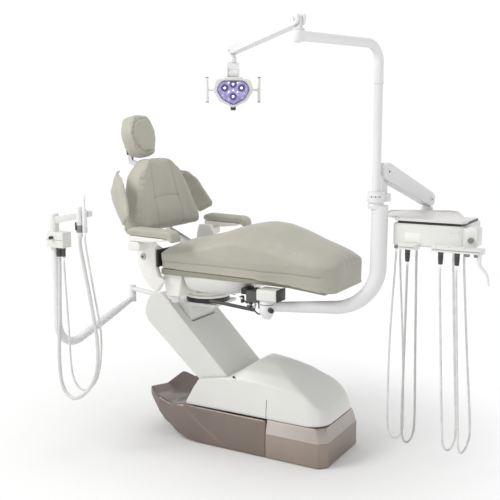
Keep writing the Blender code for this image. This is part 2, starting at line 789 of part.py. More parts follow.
def make_wings():
    """Padded side wings: folded forward from behind the cushion, their front edges flaring."""
    for sign, side in ((-1, "right"), (1, "left")):
        bm = bmesh.new()
        rings = []
        for rear, front in WING_EDGES:
            across = Vector((front[0] - rear[0], front[1] - rear[1]))
            outward = Vector((across.y, -across.x)).normalized()
            ring = []
            for share, lift in WING_SECTION:
                y = rear[0] + share * across.x + lift * outward.x
                out = rear[1] + share * across.y + lift * outward.y
                up = rear[2] + share * (front[2] - rear[2])
                ring.append(bm.verts.new(BACK_VIEW @ Vector((sign * y, up, out))))
            rings.append(ring)
        for upper, lower in zip(rings, rings[1:]):
            for k in range(len(WING_SECTION)):
                n = (k + 1) % len(WING_SECTION)
                bm.faces.new((upper[k], upper[n], lower[n], lower[k]))
        bm.faces.new(rings[0])
        bm.faces.new(rings[-1])
        mesh = bpy.data.meshes.new(f"wing_{side}")
        bm.to_mesh(mesh)
        bm.free()
        smooth(place(weld(mesh), f"wing_{side}", SAGE, backrest))


make_back_frame()
make_back_shell()
make_back_cushion()
make_wings()

# ============================================================== headrest
neck = back_point(0.30, -0.085)
headrest_bar = empty("headrest_slide", (neck[0], 0, neck[1]), backrest)
HEAD_UP = 0.420  # headrest tilt axis, up the back and out of its front face
HEAD_OUT = -0.138
HEAD_PIVOT = back_point(HEAD_UP, HEAD_OUT)
headrest = empty("headrest_tilt", (HEAD_PIVOT[0], 0, HEAD_PIVOT[1]), headrest_bar)


def make_headrest_bar():
    """Flat bar in the guide, its cranked top carrying the headrest's pivot."""
    outline = [(-0.023, 0.150), (0.023, 0.150), (0.023, 0.335), (-0.023, 0.335)]
    bar = slab("headrest_bar", outline, -0.089, -0.081, BACK_VIEW, STEEL, headrest_bar)
    crank = [(0.312, -0.083), (0.333, -0.083), (0.350, -0.128), (HEAD_UP, HEAD_OUT + 0.010)]
    crank += [(HEAD_UP + 0.008, HEAD_OUT + 0.006), (HEAD_UP + 0.010, HEAD_OUT)]
    crank += [(HEAD_UP + 0.008, HEAD_OUT - 0.006), (HEAD_UP, HEAD_OUT - 0.010)]
    crank += [(0.340, -0.148), (0.322, -0.120)]
    outline = [back_point(up, out) for up, out in crank]
    combine(bar, slab("bar_crank", outline, -0.010, 0.010, SIDE), "UNION")
    bore(bar, HEAD_PIVOT, 0.0048, 12)


def make_headrest():
    """Headrest cushion on its plate, clevis and pin."""
    outline = [(-0.065, 0.375), (0.065, 0.375), (0.055, 0.520), (-0.055, 0.520)]
    plate = slab("headrest_plate", outline, -0.1088, -0.1028, BACK_VIEW, BLACK, headrest)
    ear = link_outline(back_point(HEAD_UP, -0.1145), HEAD_PIVOT, 0.010, 4)
    for low, high in ((-0.020, -0.0104), (0.0104, 0.020)):
        combine(plate, slab("plate_ear", ear, low, high, SIDE), "UNION")
    low = (HEAD_PIVOT[0], -0.024, HEAD_PIVOT[1])
    high = (HEAD_PIVOT[0], 0.024, HEAD_PIVOT[1])
    combine(plate, rod("headrest_pin", low, high, 0.0045, None, None, 12), "UNION")
    corners = [(-0.060, 0.358), (0.060, 0.358), (0.104, 0.462), (0.060, 0.549), (-0.060, 0.549)]
    corners += [(-0.104, 0.462)]
    shape = rounded(corners, [0.035, 0.035, 0.09, 0.045, 0.045, 0.09], 3)
    cushion = slab("headrest_cushion", shape, -0.1025, -0.033, BACK_VIEW, SAGE, headrest)
    soften(cushion, 0.022, 1, 50)


headrest_lever = empty("headrest_lever_pivot", (HEAD_PIVOT[0], 0.030, HEAD_PIVOT[1]), headrest)


def make_headrest_lever():
    """Release lever beside the headrest clevis."""
    tip = back_point(0.365, -0.160)
    outline = link_outline(HEAD_PIVOT, tip, 0.009)
    slab("headrest_lever", outline, 0.0245, 0.0345, SIDE, BLACK, headrest_lever)


make_headrest_bar()
make_headrest()
make_headrest_lever()

# ============================================================= armrests


def make_armrest(sign, side):
    """Swing-out armrest: white support on a pivot, padded top."""
    pivot = (-0.268, sign * 0.305)
    body = empty(f"armrest_{side}_pivot", (*pivot, 0.925), seat)
    outline = [(-0.296, 0.925), (-0.190, 0.925), (-0.108, 0.936), (-0.096, 0.9468), (-0.296, 0.9528)]
    inner = min(sign * 0.278, sign * 0.338)
    outer = max(sign * 0.278, sign * 0.338)
    support = slab(f"armrest_support_{side}", outline, inner, outer, SIDE, WHITE, body)
    soften(support, 0.004, 1)
    top = [(-0.302, 0.9541), (-0.092, 0.9481), (-0.070, 0.930), (-0.056, 0.934)]
    top += [(-0.060, 0.965), (-0.080, 0.979), (-0.285, 0.984), (-0.302, 0.975)]
    inner = min(sign * 0.274, sign * 0.346)
    outer = max(sign * 0.274, sign * 0.346)
    pad = slab(f"armrest_pad_{side}", top, inner, outer, SIDE, SAGE, body)
    soften(pad, 0.008, 2, 30)


make_armrest(-1, "right")
make_armrest(1, "left")

# ============================================================ radius arm
radius_arm = empty("radius_arm", (*HUB, HUB_Z), seat)


def make_radius_arm():
    """Hub, tapered tube under the legrest, thick post and thin light post in one."""
    start = Vector((*HUB, 0.684))
    route = bend_path([start, (*POST, 0.680), (*POST, POST_TOP)], 0.17, 7)
    run = reach_of(start, POST)
    scale = []
    for x, y, z in route:
        along = reach_of(start, (x, y)) / run
        scale.append(0.56 + 0.44 * min(1.0, along * 0.8 + max(0.0, z - 0.70)))
    arm = tube("radius_arm_post", route, POST_R, PAINT, radius_arm, 3, scale)
    for i, (low, high, radius) in enumerate(
        ((0.650, 0.7122, 0.031), (0.640, 0.655, 0.026), (0.633, 0.645, 0.019))
    ):
        hub = rod(f"hub_{i}", (*HUB, low), (*HUB, high), radius, None, None, 20)
        combine(arm, hub, "UNION")
    post = rod("post", (*POLE, POST_TOP - 0.02), (*POLE, RING_Z - GAP), POLE_R, None, None, 16)
    combine(arm, post, "UNION")
    collar = rod("collar", (*POLE, POST_TOP - 0.02), (*POLE, 1.1177), 0.030, None, None, 20)
    combine(arm, collar, "UNION")
    knob = Vector((math.cos(-0.7), math.sin(-0.7), 0))
    middle = Vector((*HUB, 0.676))
    knob_body = empty("brake_knob_axis", tuple(middle + knob * 0.04), radius_arm)
    low = middle + knob * 0.0316
    rod("brake_knob", low, low + knob * 0.022, 0.0105, BLACK, knob_body, 10)


make_radius_arm()

# ================================================================= light
light_pole = empty("light_pole_swivel", (*POLE, RING_Z), radius_arm)
light_base = empty("light_arm_swivel", (*LIGHT_SWIVEL, LIGHT_ARM_Z[0]), light_pole)
light_arm = empty("light_arm_lift", (*LIGHT_SWIVEL, LIGHT_ARM_Z[0]), light_base)
light_drop = empty("light_level", (*LIGHT_END, LIGHT_ARM_Z[1]), light_arm)
light_yaw = empty("light_yaw", (*LIGHT_END, 1.69), light_drop)
lamp_side = Vector((-math.sin(LAMP_FACE), math.cos(LAMP_FACE), 0))
lamp_out = Vector((math.cos(LAMP_FACE), math.sin(LAMP_FACE), 0))
LAMP_HINGE = Vector((*LIGHT_END, 1.646))
lamp = empty("lamp_tilt", LAMP_HINGE, light_yaw)


def make_light_pole():
    """Upper pole bent over to carry the lamp's arm, with the ring at its swivel."""
    route = [(*POLE, RING_Z + 0.006), (*POLE, TOP_TUBE_Z), (*LIGHT_SWIVEL, TOP_TUBE_Z)]
    pole = tube("light_pole", bend_path(route, 0.075, 6), 0.0185, PAINT, light_pole, 2)
    ring = rod("ring", (*POLE, RING_Z), (*POLE, RING_Z + 0.012), 0.0205, None, None, 16)
    combine(pole, ring, "UNION")
    low = (*LIGHT_SWIVEL, TOP_TUBE_Z - 0.024)
    joint = rod("joint", low, (*LIGHT_SWIVEL, TOP_TUBE_Z + 0.0195), 0.021, None, None, 16)
    combine(pole, joint, "UNION")


ARM_HEADING = heading_of(LIGHT_SWIVEL, LIGHT_END)
ARM_REACH = reach_of(LIGHT_SWIVEL, LIGHT_END)


def clevis_arm(name, view, low, high, radii, half, mat, body, lug_half):
    """Tapered bar between two pivots of a vertical plane, slotted at both ends."""
    heading = math.degrees(math.atan2(high[1] - low[1], high[0] - low[0]))
    outline = arc(low, radii[0], heading + 90, heading + 270, 6)
    outline += arc(high, radii[1], heading - 90, heading + 90, 6)
    bar = slab(name, outline, -half, half, view, mat, body)
    for i, end in enumerate((low, high)):
        reach = radii[i] * 1.5
        shape = arc(end, reach, 0, 330, 11)
        slot = slab(f"{name}_slot_{i}", shape, -lug_half - 0.0006, lug_half + 0.0006, view)
        combine(bar, slot, "DIFFERENCE")
    return bar


def make_light_arm():
    """Swivel head, arm and lower knuckle of the lamp."""
    view = upright(LIGHT_SWIVEL, ARM_HEADING)
    top = TOP_TUBE_Z + 0.0198
    eye = arc((0, LIGHT_ARM_Z[0]), 0.016, -10, 190, 6) + [(-0.016, top), (0.016, top)]
    swivel = slab("light_joint_upper", eye, -0.007, 0.007, view, PAINT, light_base)
    stem = rod("joint_stem", (*LIGHT_SWIVEL, top), (*LIGHT_SWIVEL, top + 0.005), 0.021, None, None, 16)
    combine(swivel, stem, "UNION")
    clevis_arm(
        "light_arm",
        view,
        (0.0, LIGHT_ARM_Z[0]),
        (ARM_REACH, LIGHT_ARM_Z[1]),
        (0.0225, 0.0180),
        0.019,
        PAINT,
        light_arm,
        0.007,
    )
    view = upright(LIGHT_END, ARM_HEADING)
    eye = [(-0.013, 1.7000), (0.013, 1.7000)] + arc((0, LIGHT_ARM_Z[1]), 0.013, 0, 180, 6)
    knuckle = slab("light_knuckle", eye, -0.007, 0.007, view, PAINT, light_drop)
    stem = rod("knuckle_stem", (*LIGHT_END, 1.6903), (*LIGHT_END, 1.7110), 0.0155, None, None, 16)
    combine(knuckle, stem, "UNION")


def lamp_view(out):
    """View matrix of the lamp's face; (u, v) is (sideways, z)."""
    base_view = Matrix.Translation((LIGHT_END[0], LIGHT_END[1], 0))
    turn = Matrix.Rotation(LAMP_FACE, 4, "Z")
    return base_view @ turn @ Matrix.Translation((out, 0, 0)) @ FRONT


def make_lamp():
    """Bracket, shield-shaped lamp head, lens, handles and sensor."""
    view = lamp_view(0.0)
    plate = [(-0.026, 1.6595), (0.026, 1.6595), (0.026, 1.6897), (-0.026, 1.6897)]
    bracket = slab("light_bracket", rounded(plate, 0.006), -0.012, 0.012, view, PAINT, light_yaw)
    for sign in (-1, 1):
        cheek = [(-0.020, 1.628), (0.020, 1.628), (0.020, 1.670), (-0.020, 1.670)]
        side_view = lamp_view(0.0) @ Matrix.Rotation(math.radians(90), 4, "Y")
        low = min(sign * 0.0215, sign * 0.0275)
        high = max(sign * 0.0215, sign * 0.0275)
        ear = slab("bracket_ear", rounded(cheek, 0.008), low, high, side_view)
        combine(bracket, ear, "UNION")
    shield = [(-0.072, 1.622), (0.072, 1.622), (0.089, 1.575), (0.060, 1.527), (0.0, 1.499)]
    shield += [(-0.060, 1.527), (-0.089, 1.575)]
    shape = rounded(shield, [0.02, 0.02, 0.03, 0.03, 0.025, 0.03, 0.03], 3)
    housing = slab("lamp_housing", shape, -0.030, 0.026, view, WHITE, lamp)
    soften(housing, 0.008, 1, 50)
    neck_low = LAMP_HINGE - lamp_side * 0.0212
    neck_high = LAMP_HINGE + lamp_side * 0.0212
    combine(housing, rod("lamp_neck", neck_low, neck_high, 0.012, None, None, 12), "UNION")
    stem = rod("lamp_stem", LAMP_HINGE - Vector((0, 0, 0.030)), LAMP_HINGE, 0.010, None, None, 12)
    combine(housing, stem, "UNION")
    sensor = Vector((*LIGHT_END, 1.510)) + lamp_out * 0.008
    sensor = rod("lamp_sensor", sensor, sensor - Vector((0, 0, 0.024)), 0.011, None, None, 12)
    combine(housing, sensor, "UNION")
    for sign in (-1, 1):
        middle = Vector((*LIGHT_END, 1.575)) + lamp_side * sign * 0.112
        low = middle - Vector((0, 0, 0.052))
        bar = rod("lamp_handle", low, low + Vector((0, 0, 0.104)), 0.0065, None, None, 10)
        combine(housing, bar, "UNION")
        stay = rod("handle_stay", middle - lamp_side * sign * 0.035, middle, 0.005, None, None, 8)
        combine(housing, stay, "UNION")
    face = [(-0.050, 1.611), (0.050, 1.611), (0.070, 1.574), (0.046, 1.536), (0.0, 1.511)]
    face += [(-0.046, 1.536), (-0.070, 1.574)]
    shape = rounded(face, [0.03, 0.03, 0.025, 0.03, 0.02, 0.03, 0.025], 3)
    slab("lamp_lens", shape, 0.0263, 0.0315, view, LENS, lamp)


make_light_pole()
make_light_arm()
make_lamp()

# ========================================================= delivery arm
flex_swivel = empty("flex_swivel", (*POLE, 1.15), radius_arm)
flex_arm = empty("flex_arm_lift", FLEX_LOW, flex_swivel)
flex_level = empty("flex_level", FLEX_END, flex_arm)
FLEX_HEADING = heading_of(FLEX_LOW, FLEX_END)
control_head = empty("head_swivel", (FLEX_END[0], FLEX_END[1], 1.05), flex_level)


def make_flex_arm():
    """Sleeve on the light post, lifting arm and levelled knuckle."""
    sleeve = rod("flex_sleeve", (*POLE, 1.1180), (*POLE, 1.1600), 0.036, PAINT, flex_swivel, 24)
    view = upright(FLEX_LOW, FLEX_HEADING)
    eye = arc((0, FLEX_LOW[2]), 0.020, -20, 180, 6) + [(-0.020, 1.130), (0.014, 1.130)]
    combine(sleeve, slab("sleeve_lug", eye, -0.008, 0.008, view), "UNION")
    foot_low = (FLEX_LOW[0], FLEX_LOW[1], 1.1185)
    foot_high = (FLEX_LOW[0], FLEX_LOW[1], 1.1480)
    foot = rod("sleeve_foot", foot_low, foot_high, 0.030, None, None, 20)
    combine(sleeve, foot, "UNION")
    hole = rod("sleeve_bore", (*POLE, 1.0), (*POLE, 1.3), POLE_R + 0.0007, None, None, 16)
    combine(sleeve, hole, "DIFFERENCE")
    clevis_arm(
        "flex_arm",
        view,
        (0.0, FLEX_LOW[2]),
        (reach_of(FLEX_LOW, FLEX_END), FLEX_END[2]),
        (0.036, 0.030),
        0.024,
        PAINT,
        flex_arm,
        0.008,
    )
    view = upright(FLEX_END, FLEX_HEADING)
    eye = [(-0.018, 1.060), (0.018, 1.060)] + arc((0, FLEX_END[2]), 0.018, 0, 180, 6)
    knuckle = slab("flex_knuckle", eye, -0.008, 0.008, view, PAINT, flex_level)
    stem = rod("flex_stem", (*FLEX_END[:2], 1.0540), (*FLEX_END[:2], 1.0655), 0.026, None, None, 20)
    combine(knuckle, stem, "UNION")


def make_control_head():
    """Head body with its neck, end housing and holder bars; tray and knob."""
    outline = [(0.785, 0.0), (1.075, 0.0), (1.075, 0.270), (0.900, 0.440), (0.766, 0.440)]
    body = slab("head_body", rounded(outline, 0.02, 2), HEAD_Z, 1.035, PLAN, WHITE, control_head)
    soften(body, 0.012, 1, 50)
    neck = rod("neck", (*FLEX_END[:2], 1.030), (*FLEX_END[:2], 1.0537), 0.026, None, None, 20)
    combine(body, neck, "UNION")
    gasket = block("gasket", (0.805, 0.010, 1.030), (1.066, 0.255, 1.0457))
    combine(body, gasket, "UNION")
    combine(body, block("end_housing", (1.070, 0.008, 0.958), (1.125, 0.090, 1.030)), "UNION")
    for low, high in ((0.822, 0.900), (0.958, 1.160)):
        corners = [(low, -0.042), (high, -0.042), (high, 0.010), (low, 0.010)]
        bar = slab("holder_bar", rounded(corners, [0.012, 0.012, 0, 0], 2), 0.937, 0.958, PLAN)
        combine(body, bar, "UNION")
    corners = [(0.688, 0.120), (0.786, 0.062), (0.793, 0.003), (1.076, 0.003), (1.078, 0.060)]
    corners += [(0.940, 0.405), (0.668, 0.300)]
    shape = rounded(corners, [0.03, 0.01, 0.006, 0.02, 0.03, 0.05, 0.05], 3)
    tray = slab("instrument_tray", shape, TRAY_Z, TRAY_Z + 0.009, PLAN, GREY, control_head)
    corners = [(0.697, 0.124), (0.793, 0.068), (0.800, 0.011), (1.068, 0.011), (1.070, 0.058)]
    corners += [(0.935, 0.395), (0.678, 0.296)]
    shape = rounded(corners, [0.025, 0.01, 0.006, 0.016, 0.025, 0.044, 0.044], 3)
    combine(tray, slab("tray_dish", shape, TRAY_Z + 0.004, 1.2, PLAN), "DIFFERENCE")
    knob_body = empty("flow_knob_axis", (1.105, 0.0, 0.985), control_head)
    rod("flow_knob", (1.105, 0.0077, 0.985), (1.105, -0.009, 0.985), 0.011, DARK, knob_body, 12)
    return body


RELIEFS = {"b": (0.860, -0.022), "c": (0.995, -0.022), "e": (1.060, -0.022)}
GLANDS = {
    "a_front": (0.800, 0.016),
    "a_rear": (0.803, 0.060),
    "b": (0.873, 0.055),
    "c": (1.030, 0.040),
    "e": (1.063, 0.080),
}


def make_tubing_fittings(body):
    """Strain reliefs under the holder bars and glands under the head."""
    for x, y in RELIEFS.values():
        relief = rod("relief", (x, y, 0.8850), (x, y, 0.945), 0.0075, None, None, 10, 0.0, 0.010)
        combine(body, relief, "UNION")
    for x, y in GLANDS.values():
        gland = rod("gland", (x, y, 0.9300), (x, y, 0.955), 0.0085, None, None, 10)
        combine(body, gland, "UNION")


def make_syringe():
    """Air and water syringe in the right-hand end of the holder bar, nozzle downward."""
    route = bend_path(
        [(1.146, -0.022, 0.9367), (1.146, -0.022, 0.895), (1.178, -0.022, 0.860), (1.186, -0.022, 0.818)],
        0.03,
        3,
    )
    scale = [1.0 - 0.55 * i / (len(route) - 1) for i in range(len(route))]
    tube("air_water_syringe", route, 0.009, PAINT, control_head, 2, scale)


def cord(name, route, radius, count, body):
    return tube(name, smooth_path(route, count), radius, HOSE, body, 2)


def make_delivery_cords():
    """Hanging tubings: down from a relief, round at the bottom and back up to a gland."""
    low = 0.112
    a = GLANDS["a_front"]
    b = GLANDS["a_rear"]
    route = [(a[0], a[1], 0.9297), (a[0] - 0.003, a[1], 0.86), (a[0] - 0.018, a[1], 0.55)]
    route += [(a[0] - 0.020, a[1], 0.24), (a[0] - 0.012, a[1] + 0.006, low + 0.020)]
    route += [(a[0] + 0.010, a[1] + 0.022, low - 0.002), (a[0] + 0.034, a[1] + 0.038, low + 0.028)]
    route += [(a[0] + 0.034, b[1], 0.25), (a[0] + 0.022, b[1], 0.55)]
    route += [(b[0], b[1], 0.86), (b[0], b[1], 0.9297)]
    cord("tubing_a", route, 0.0040, 36, control_head)
    for key, lean, swing in (("b", -0.004, 0.030), ("c", 0.030, 0.040), ("e", 0.030, 0.022)):
        x, y = RELIEFS[key]
        u, v = GLANDS[key]
        side = x + lean
        route = [(x, y, 0.8847), (x, y, 0.82), (x + lean * 0.6, y, 0.45), (side, y, 0.22)]
        route += [(side + swing * 0.12, y + 0.010, low + 0.024), (side + swing * 0.5, y + 0.036, low)]
        route += [(side + swing * 0.90, v - 0.010, low + 0.028), (side + swing, v, 0.22)]
        route += [(0.5 * (side + swing + u), v, 0.52), (u, v, 0.86), (u, v, 0.9297)]
        cord(f"tubing_{key}", route, 0.0048, 36, control_head)


make_flex_arm()
make_tubing_fittings(make_control_head())
make_syringe()
make_delivery_cords()

# ======================================================= assistant's arm
aide_inner = empty("aide_inner_swivel", (*AIDE_MOUNT, 0.655), seat)
aide_outer = empty("aide_outer_swivel", (*AIDE_ELBOW, 0.620), aide_inner)
aide_holder = empty("aide_holder_swivel", (*AIDE_POST, 0.900), aide_outer)


def make_aide_arms():
    """Two swinging tubes; the outer one turns up into the post."""
    start = (*AIDE_MOUNT, 0.642)
    end = (*AIDE_ELBOW, 0.644)
    arm = tube("aide_arm_inner", [start, end], 0.0115, PAINT, aide_inner, 2)
    for name, x, y, z0, z1, r in (
        ("inner_root", *AIDE_MOUNT, 0.6300, 0.6552, 0.020),
        ("inner_tip", *AIDE_ELBOW, 0.6253, 0.660, 0.016),
    ):
        combine(arm, rod(name, (x, y, z0), (x, y, z1), r, None, None, 14), "UNION")
    route = bend_path([(*AIDE_ELBOW, 0.598), (*AIDE_POST, 0.437), (*AIDE_POST, 0.8997)], 0.10, 6)
    scale = [0.62 + 0.38 * min(1.0, i / 4) for i in range(len(route))]
    post = tube("aide_post", route, 0.0185, PAINT, aide_outer, 2, scale)
    elbow = rod("elbow", (*AIDE_ELBOW, 0.580), (*AIDE_ELBOW, 0.6250), 0.016, None, None, 14)
    combine(post, elbow, "UNION")


def make_aide_holder():
    """Column, cross bar and valve block that turn on the post, and the two instruments."""
    x, y = AIDE_POST
    holder = block(
        "aide_holder", (x - 0.021, y - 0.030, 0.912), (x + 0.070, y + 0.023, 0.978), WHITE, aide_holder
    )
    column = rod("column", (x, y, 0.9000), (x, y, 1.052), 0.0195, None, None, 16)
    combine(holder, column, "UNION")
    outline = [(0.0, 1.010), (0.200, 1.052), (0.200, 1.076), (0.0, 1.040)]
    bar = slab("holder_bar", outline, -0.011, 0.011, upright((x, y), 0.0))
    combine(holder, bar, "UNION")
    for dx, radius in ((0.032, 0.011), (0.058, 0.007)):
        low = (x + dx, y - 0.012, 0.868)
        high = (x + dx, y - 0.012, 0.920)
        combine(holder, rod("connector", low, high, radius, None, None, 12), "UNION")
    lever = empty("aide_lever_axis", (x + 0.012, y - 0.0303, 0.955), aide_holder)
    low = (x + 0.012, y - 0.0303, 0.955)
    rod("aide_lever", low, (x + 0.012, y - 0.046, 0.955), 0.007, BLACK, lever, 10)
    spot = (x + 0.160, y - 0.0238)
    rod("hve_handle", (*spot, 0.965), (*spot, 1.092), 0.0125, PAINT, aide_holder, 14)
    spot = (x + 0.186, y - 0.0213)
    syringe = rod("aide_syringe", (*spot, 0.985), (*spot, 1.085), 0.0100, PAINT, aide_holder, 12)
    tip = rod("syringe_tip", (*spot, 1.080), (*spot, 1.140), 0.004, None, None, 10)
    combine(syringe, tip, "UNION")


def make_aide_cords():
    """Suction hose and syringe tubing, hanging in loops from instrument to valve block."""
    x, y = AIDE_POST
    route = [(x + 0.160, y - 0.0238, 0.9647), (x + 0.162, y - 0.0238, 0.915), (x + 0.206, y - 0.0238, 0.70)]
    route += [(x + 0.236, y - 0.024, 0.52), (x + 0.224, y - 0.024, 0.385), (x + 0.165, y - 0.024, 0.295)]
    route += [(x + 0.092, y - 0.024, 0.258), (x + 0.036, y - 0.024, 0.305), (x + 0.022, y - 0.024, 0.43)]
    route += [(x + 0.028, y - 0.018, 0.62), (x + 0.032, y - 0.012, 0.82), (x + 0.032, y - 0.012, 0.8677)]
    cord("hve_hose", route, 0.0078, 36, aide_holder)
    route = [(x + 0.186, y - 0.0213, 0.9847), (x + 0.186, y - 0.020, 0.93), (x + 0.212, y - 0.004, 0.72)]
    route += [(x + 0.238, y, 0.54), (x + 0.218, y, 0.38), (x + 0.165, y, 0.305)]
    route += [(x + 0.108, y, 0.300), (x + 0.070, y, 0.37), (x + 0.064, y - 0.004, 0.56)]
    route += [(x + 0.058, y - 0.012, 0.82), (x + 0.058, y - 0.012, 0.8677)]
    cord("aide_tubing", route, 0.0042, 36, aide_holder)


make_aide_arms()
make_aide_holder()
make_aide_cords()
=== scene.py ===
"""Looks of the dental chair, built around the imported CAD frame."""

import json
import math

import bmesh
import bpy
import numpy as np
from mathutils import Matrix, Vector
from mathutils.bvhtree import BVHTree

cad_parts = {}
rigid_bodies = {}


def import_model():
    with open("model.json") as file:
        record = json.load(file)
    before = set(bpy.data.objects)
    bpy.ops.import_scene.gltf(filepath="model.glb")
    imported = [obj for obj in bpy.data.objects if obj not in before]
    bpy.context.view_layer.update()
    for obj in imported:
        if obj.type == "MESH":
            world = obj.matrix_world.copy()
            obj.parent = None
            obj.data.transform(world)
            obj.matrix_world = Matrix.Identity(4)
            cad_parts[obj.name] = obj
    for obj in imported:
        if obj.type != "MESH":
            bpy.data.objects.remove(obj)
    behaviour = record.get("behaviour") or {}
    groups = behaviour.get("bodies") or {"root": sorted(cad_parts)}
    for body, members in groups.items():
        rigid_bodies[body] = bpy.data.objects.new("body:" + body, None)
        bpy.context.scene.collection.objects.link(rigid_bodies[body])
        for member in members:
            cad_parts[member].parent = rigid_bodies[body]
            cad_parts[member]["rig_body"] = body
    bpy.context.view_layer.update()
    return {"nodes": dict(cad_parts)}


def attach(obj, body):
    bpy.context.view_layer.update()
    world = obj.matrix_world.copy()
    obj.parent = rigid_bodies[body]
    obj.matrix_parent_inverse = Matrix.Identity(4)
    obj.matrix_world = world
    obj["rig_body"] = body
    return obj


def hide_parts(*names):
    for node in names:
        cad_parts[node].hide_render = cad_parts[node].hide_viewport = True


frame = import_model()
NODES = frame["nodes"]
SCENE = bpy.context.scene

# ------------------------------------------------------------------ camera
CAMERA_AT = (1.9086, -3.1811, 1.45)
CAMERA_TURN = (81.0, 0.0, 29.3)
FOCAL = 826 / 500 * 36


def make_camera():
    data = bpy.data.cameras.new("camera")
    data.lens = FOCAL
    data.sensor_width = 36
    data.clip_end = 50
    cam = bpy.data.objects.new("camera", data)
    cam.location = CAMERA_AT
    cam.rotation_euler = [math.radians(a) for a in CAMERA_TURN]
    SCENE.collection.objects.link(cam)
    SCENE.camera = cam


def area_light(name, at, target, size, power, colour=(1, 1, 1)):
    data = bpy.data.lights.new(name, "AREA")
    data.size = size
    data.energy = power
    data.color = colour
    lamp = bpy.data.objects.new(name, data)
    lamp.location = at
    aim = Vector(target) - Vector(at)
    lamp.rotation_euler = aim.to_track_quat("-Z", "Y").to_euler()
    SCENE.collection.objects.link(lamp)


FLOOR_SHADED = 0.5
FLOOR_WHITE = 1.65


def make_studio():
    world = bpy.data.worlds.new("world")
    SCENE.world = world
    world.use_nodes = True
    tree = world.node_tree
    back = tree.nodes["Background"]
    back.inputs["Color"].default_value = (1.0, 1.0, 1.0, 1)
    coords_node = tree.nodes.new("ShaderNodeTexCoord")
    split = tree.nodes.new("ShaderNodeSeparateXYZ")
    span = tree.nodes.new("ShaderNodeMapRange")
    span.interpolation_type = "SMOOTHSTEP"
    span.inputs["From Min"].default_value = 0.22
    span.inputs["From Max"].default_value = 0.6
    span.inputs["To Min"].default_value = 1.02
    span.inputs["To Max"].default_value = 0.46
    tree.links.new(coords_node.outputs["Generated"], split.inputs[0])
    tree.links.new(split.outputs["Z"], span.inputs["Value"])
    tree.links.new(span.outputs["Result"], back.inputs["Strength"])
    area_light("key", (-2.6, -3.2, 4.2), (0.1, 0, 0.7), 2.2, 150, (1.0, 0.99, 0.97))
    area_light("fill", (3.4, -4.0, 2.2), (0.2, 0, 0.8), 3.0, 14, (0.97, 0.98, 1.0))
    area_light("top", (0.3, 0.6, 4.6), (0.2, 0, 0.5), 3.0, 60)
    SCENE.view_settings.view_transform = "Standard"
    SCENE.view_settings.look = "None"


def studio_floor_paint():
    """Matte white that turns into the white of the backdrop away from the chair."""
    mat = bpy.data.materials.new("studio_floor")
    mat.use_nodes = True
    tree = mat.node_tree
    shader = tree.nodes["Principled BSDF"]
    shader.inputs["Base Color"].default_value = (0.86, 0.86, 0.86, 1)
    shader.inputs["Roughness"].default_value = 0.85
    place = tree.nodes.new("ShaderNodeTexCoord")
    reach = tree.nodes.new("ShaderNodeVectorMath")
    reach.operation = "LENGTH"
    tree.links.new(place.outputs["Object"], reach.inputs[0])
    blend = tree.nodes.new("ShaderNodeMapRange")
    blend.interpolation_type = "SMOOTHSTEP"
    blend.inputs["From Min"].default_value = FLOOR_SHADED
    blend.inputs["From Max"].default_value = FLOOR_WHITE
    tree.links.new(reach.outputs["Value"], blend.inputs["Value"])
    glow = tree.nodes.new("ShaderNodeEmission")
    glow.inputs["Strength"].default_value = 1.02
    mix = tree.nodes.new("ShaderNodeMixShader")
    tree.links.new(blend.outputs["Result"], mix.inputs["Fac"])
    tree.links.new(shader.outputs["BSDF"], mix.inputs[1])
    tree.links.new(glow.outputs["Emission"], mix.inputs[2])
    tree.links.new(mix.outputs["Shader"], tree.nodes["Material Output"].inputs["Surface"])
    return mat


def make_floor():
    """Wide pale floor."""
    bm = bmesh.new()
    bmesh.ops.create_circle(bm, cap_ends=True, segments=96, radius=30.0)
    mesh = bpy.data.meshes.new("studio_floor")
    bm.to_mesh(mesh)
    bm.free()
    floor = bpy.data.objects.new("studio_floor", mesh)
    floor.location = (0, 0, -0.0005)
    SCENE.collection.objects.link(floor)
    mesh.materials.append(studio_floor_paint())


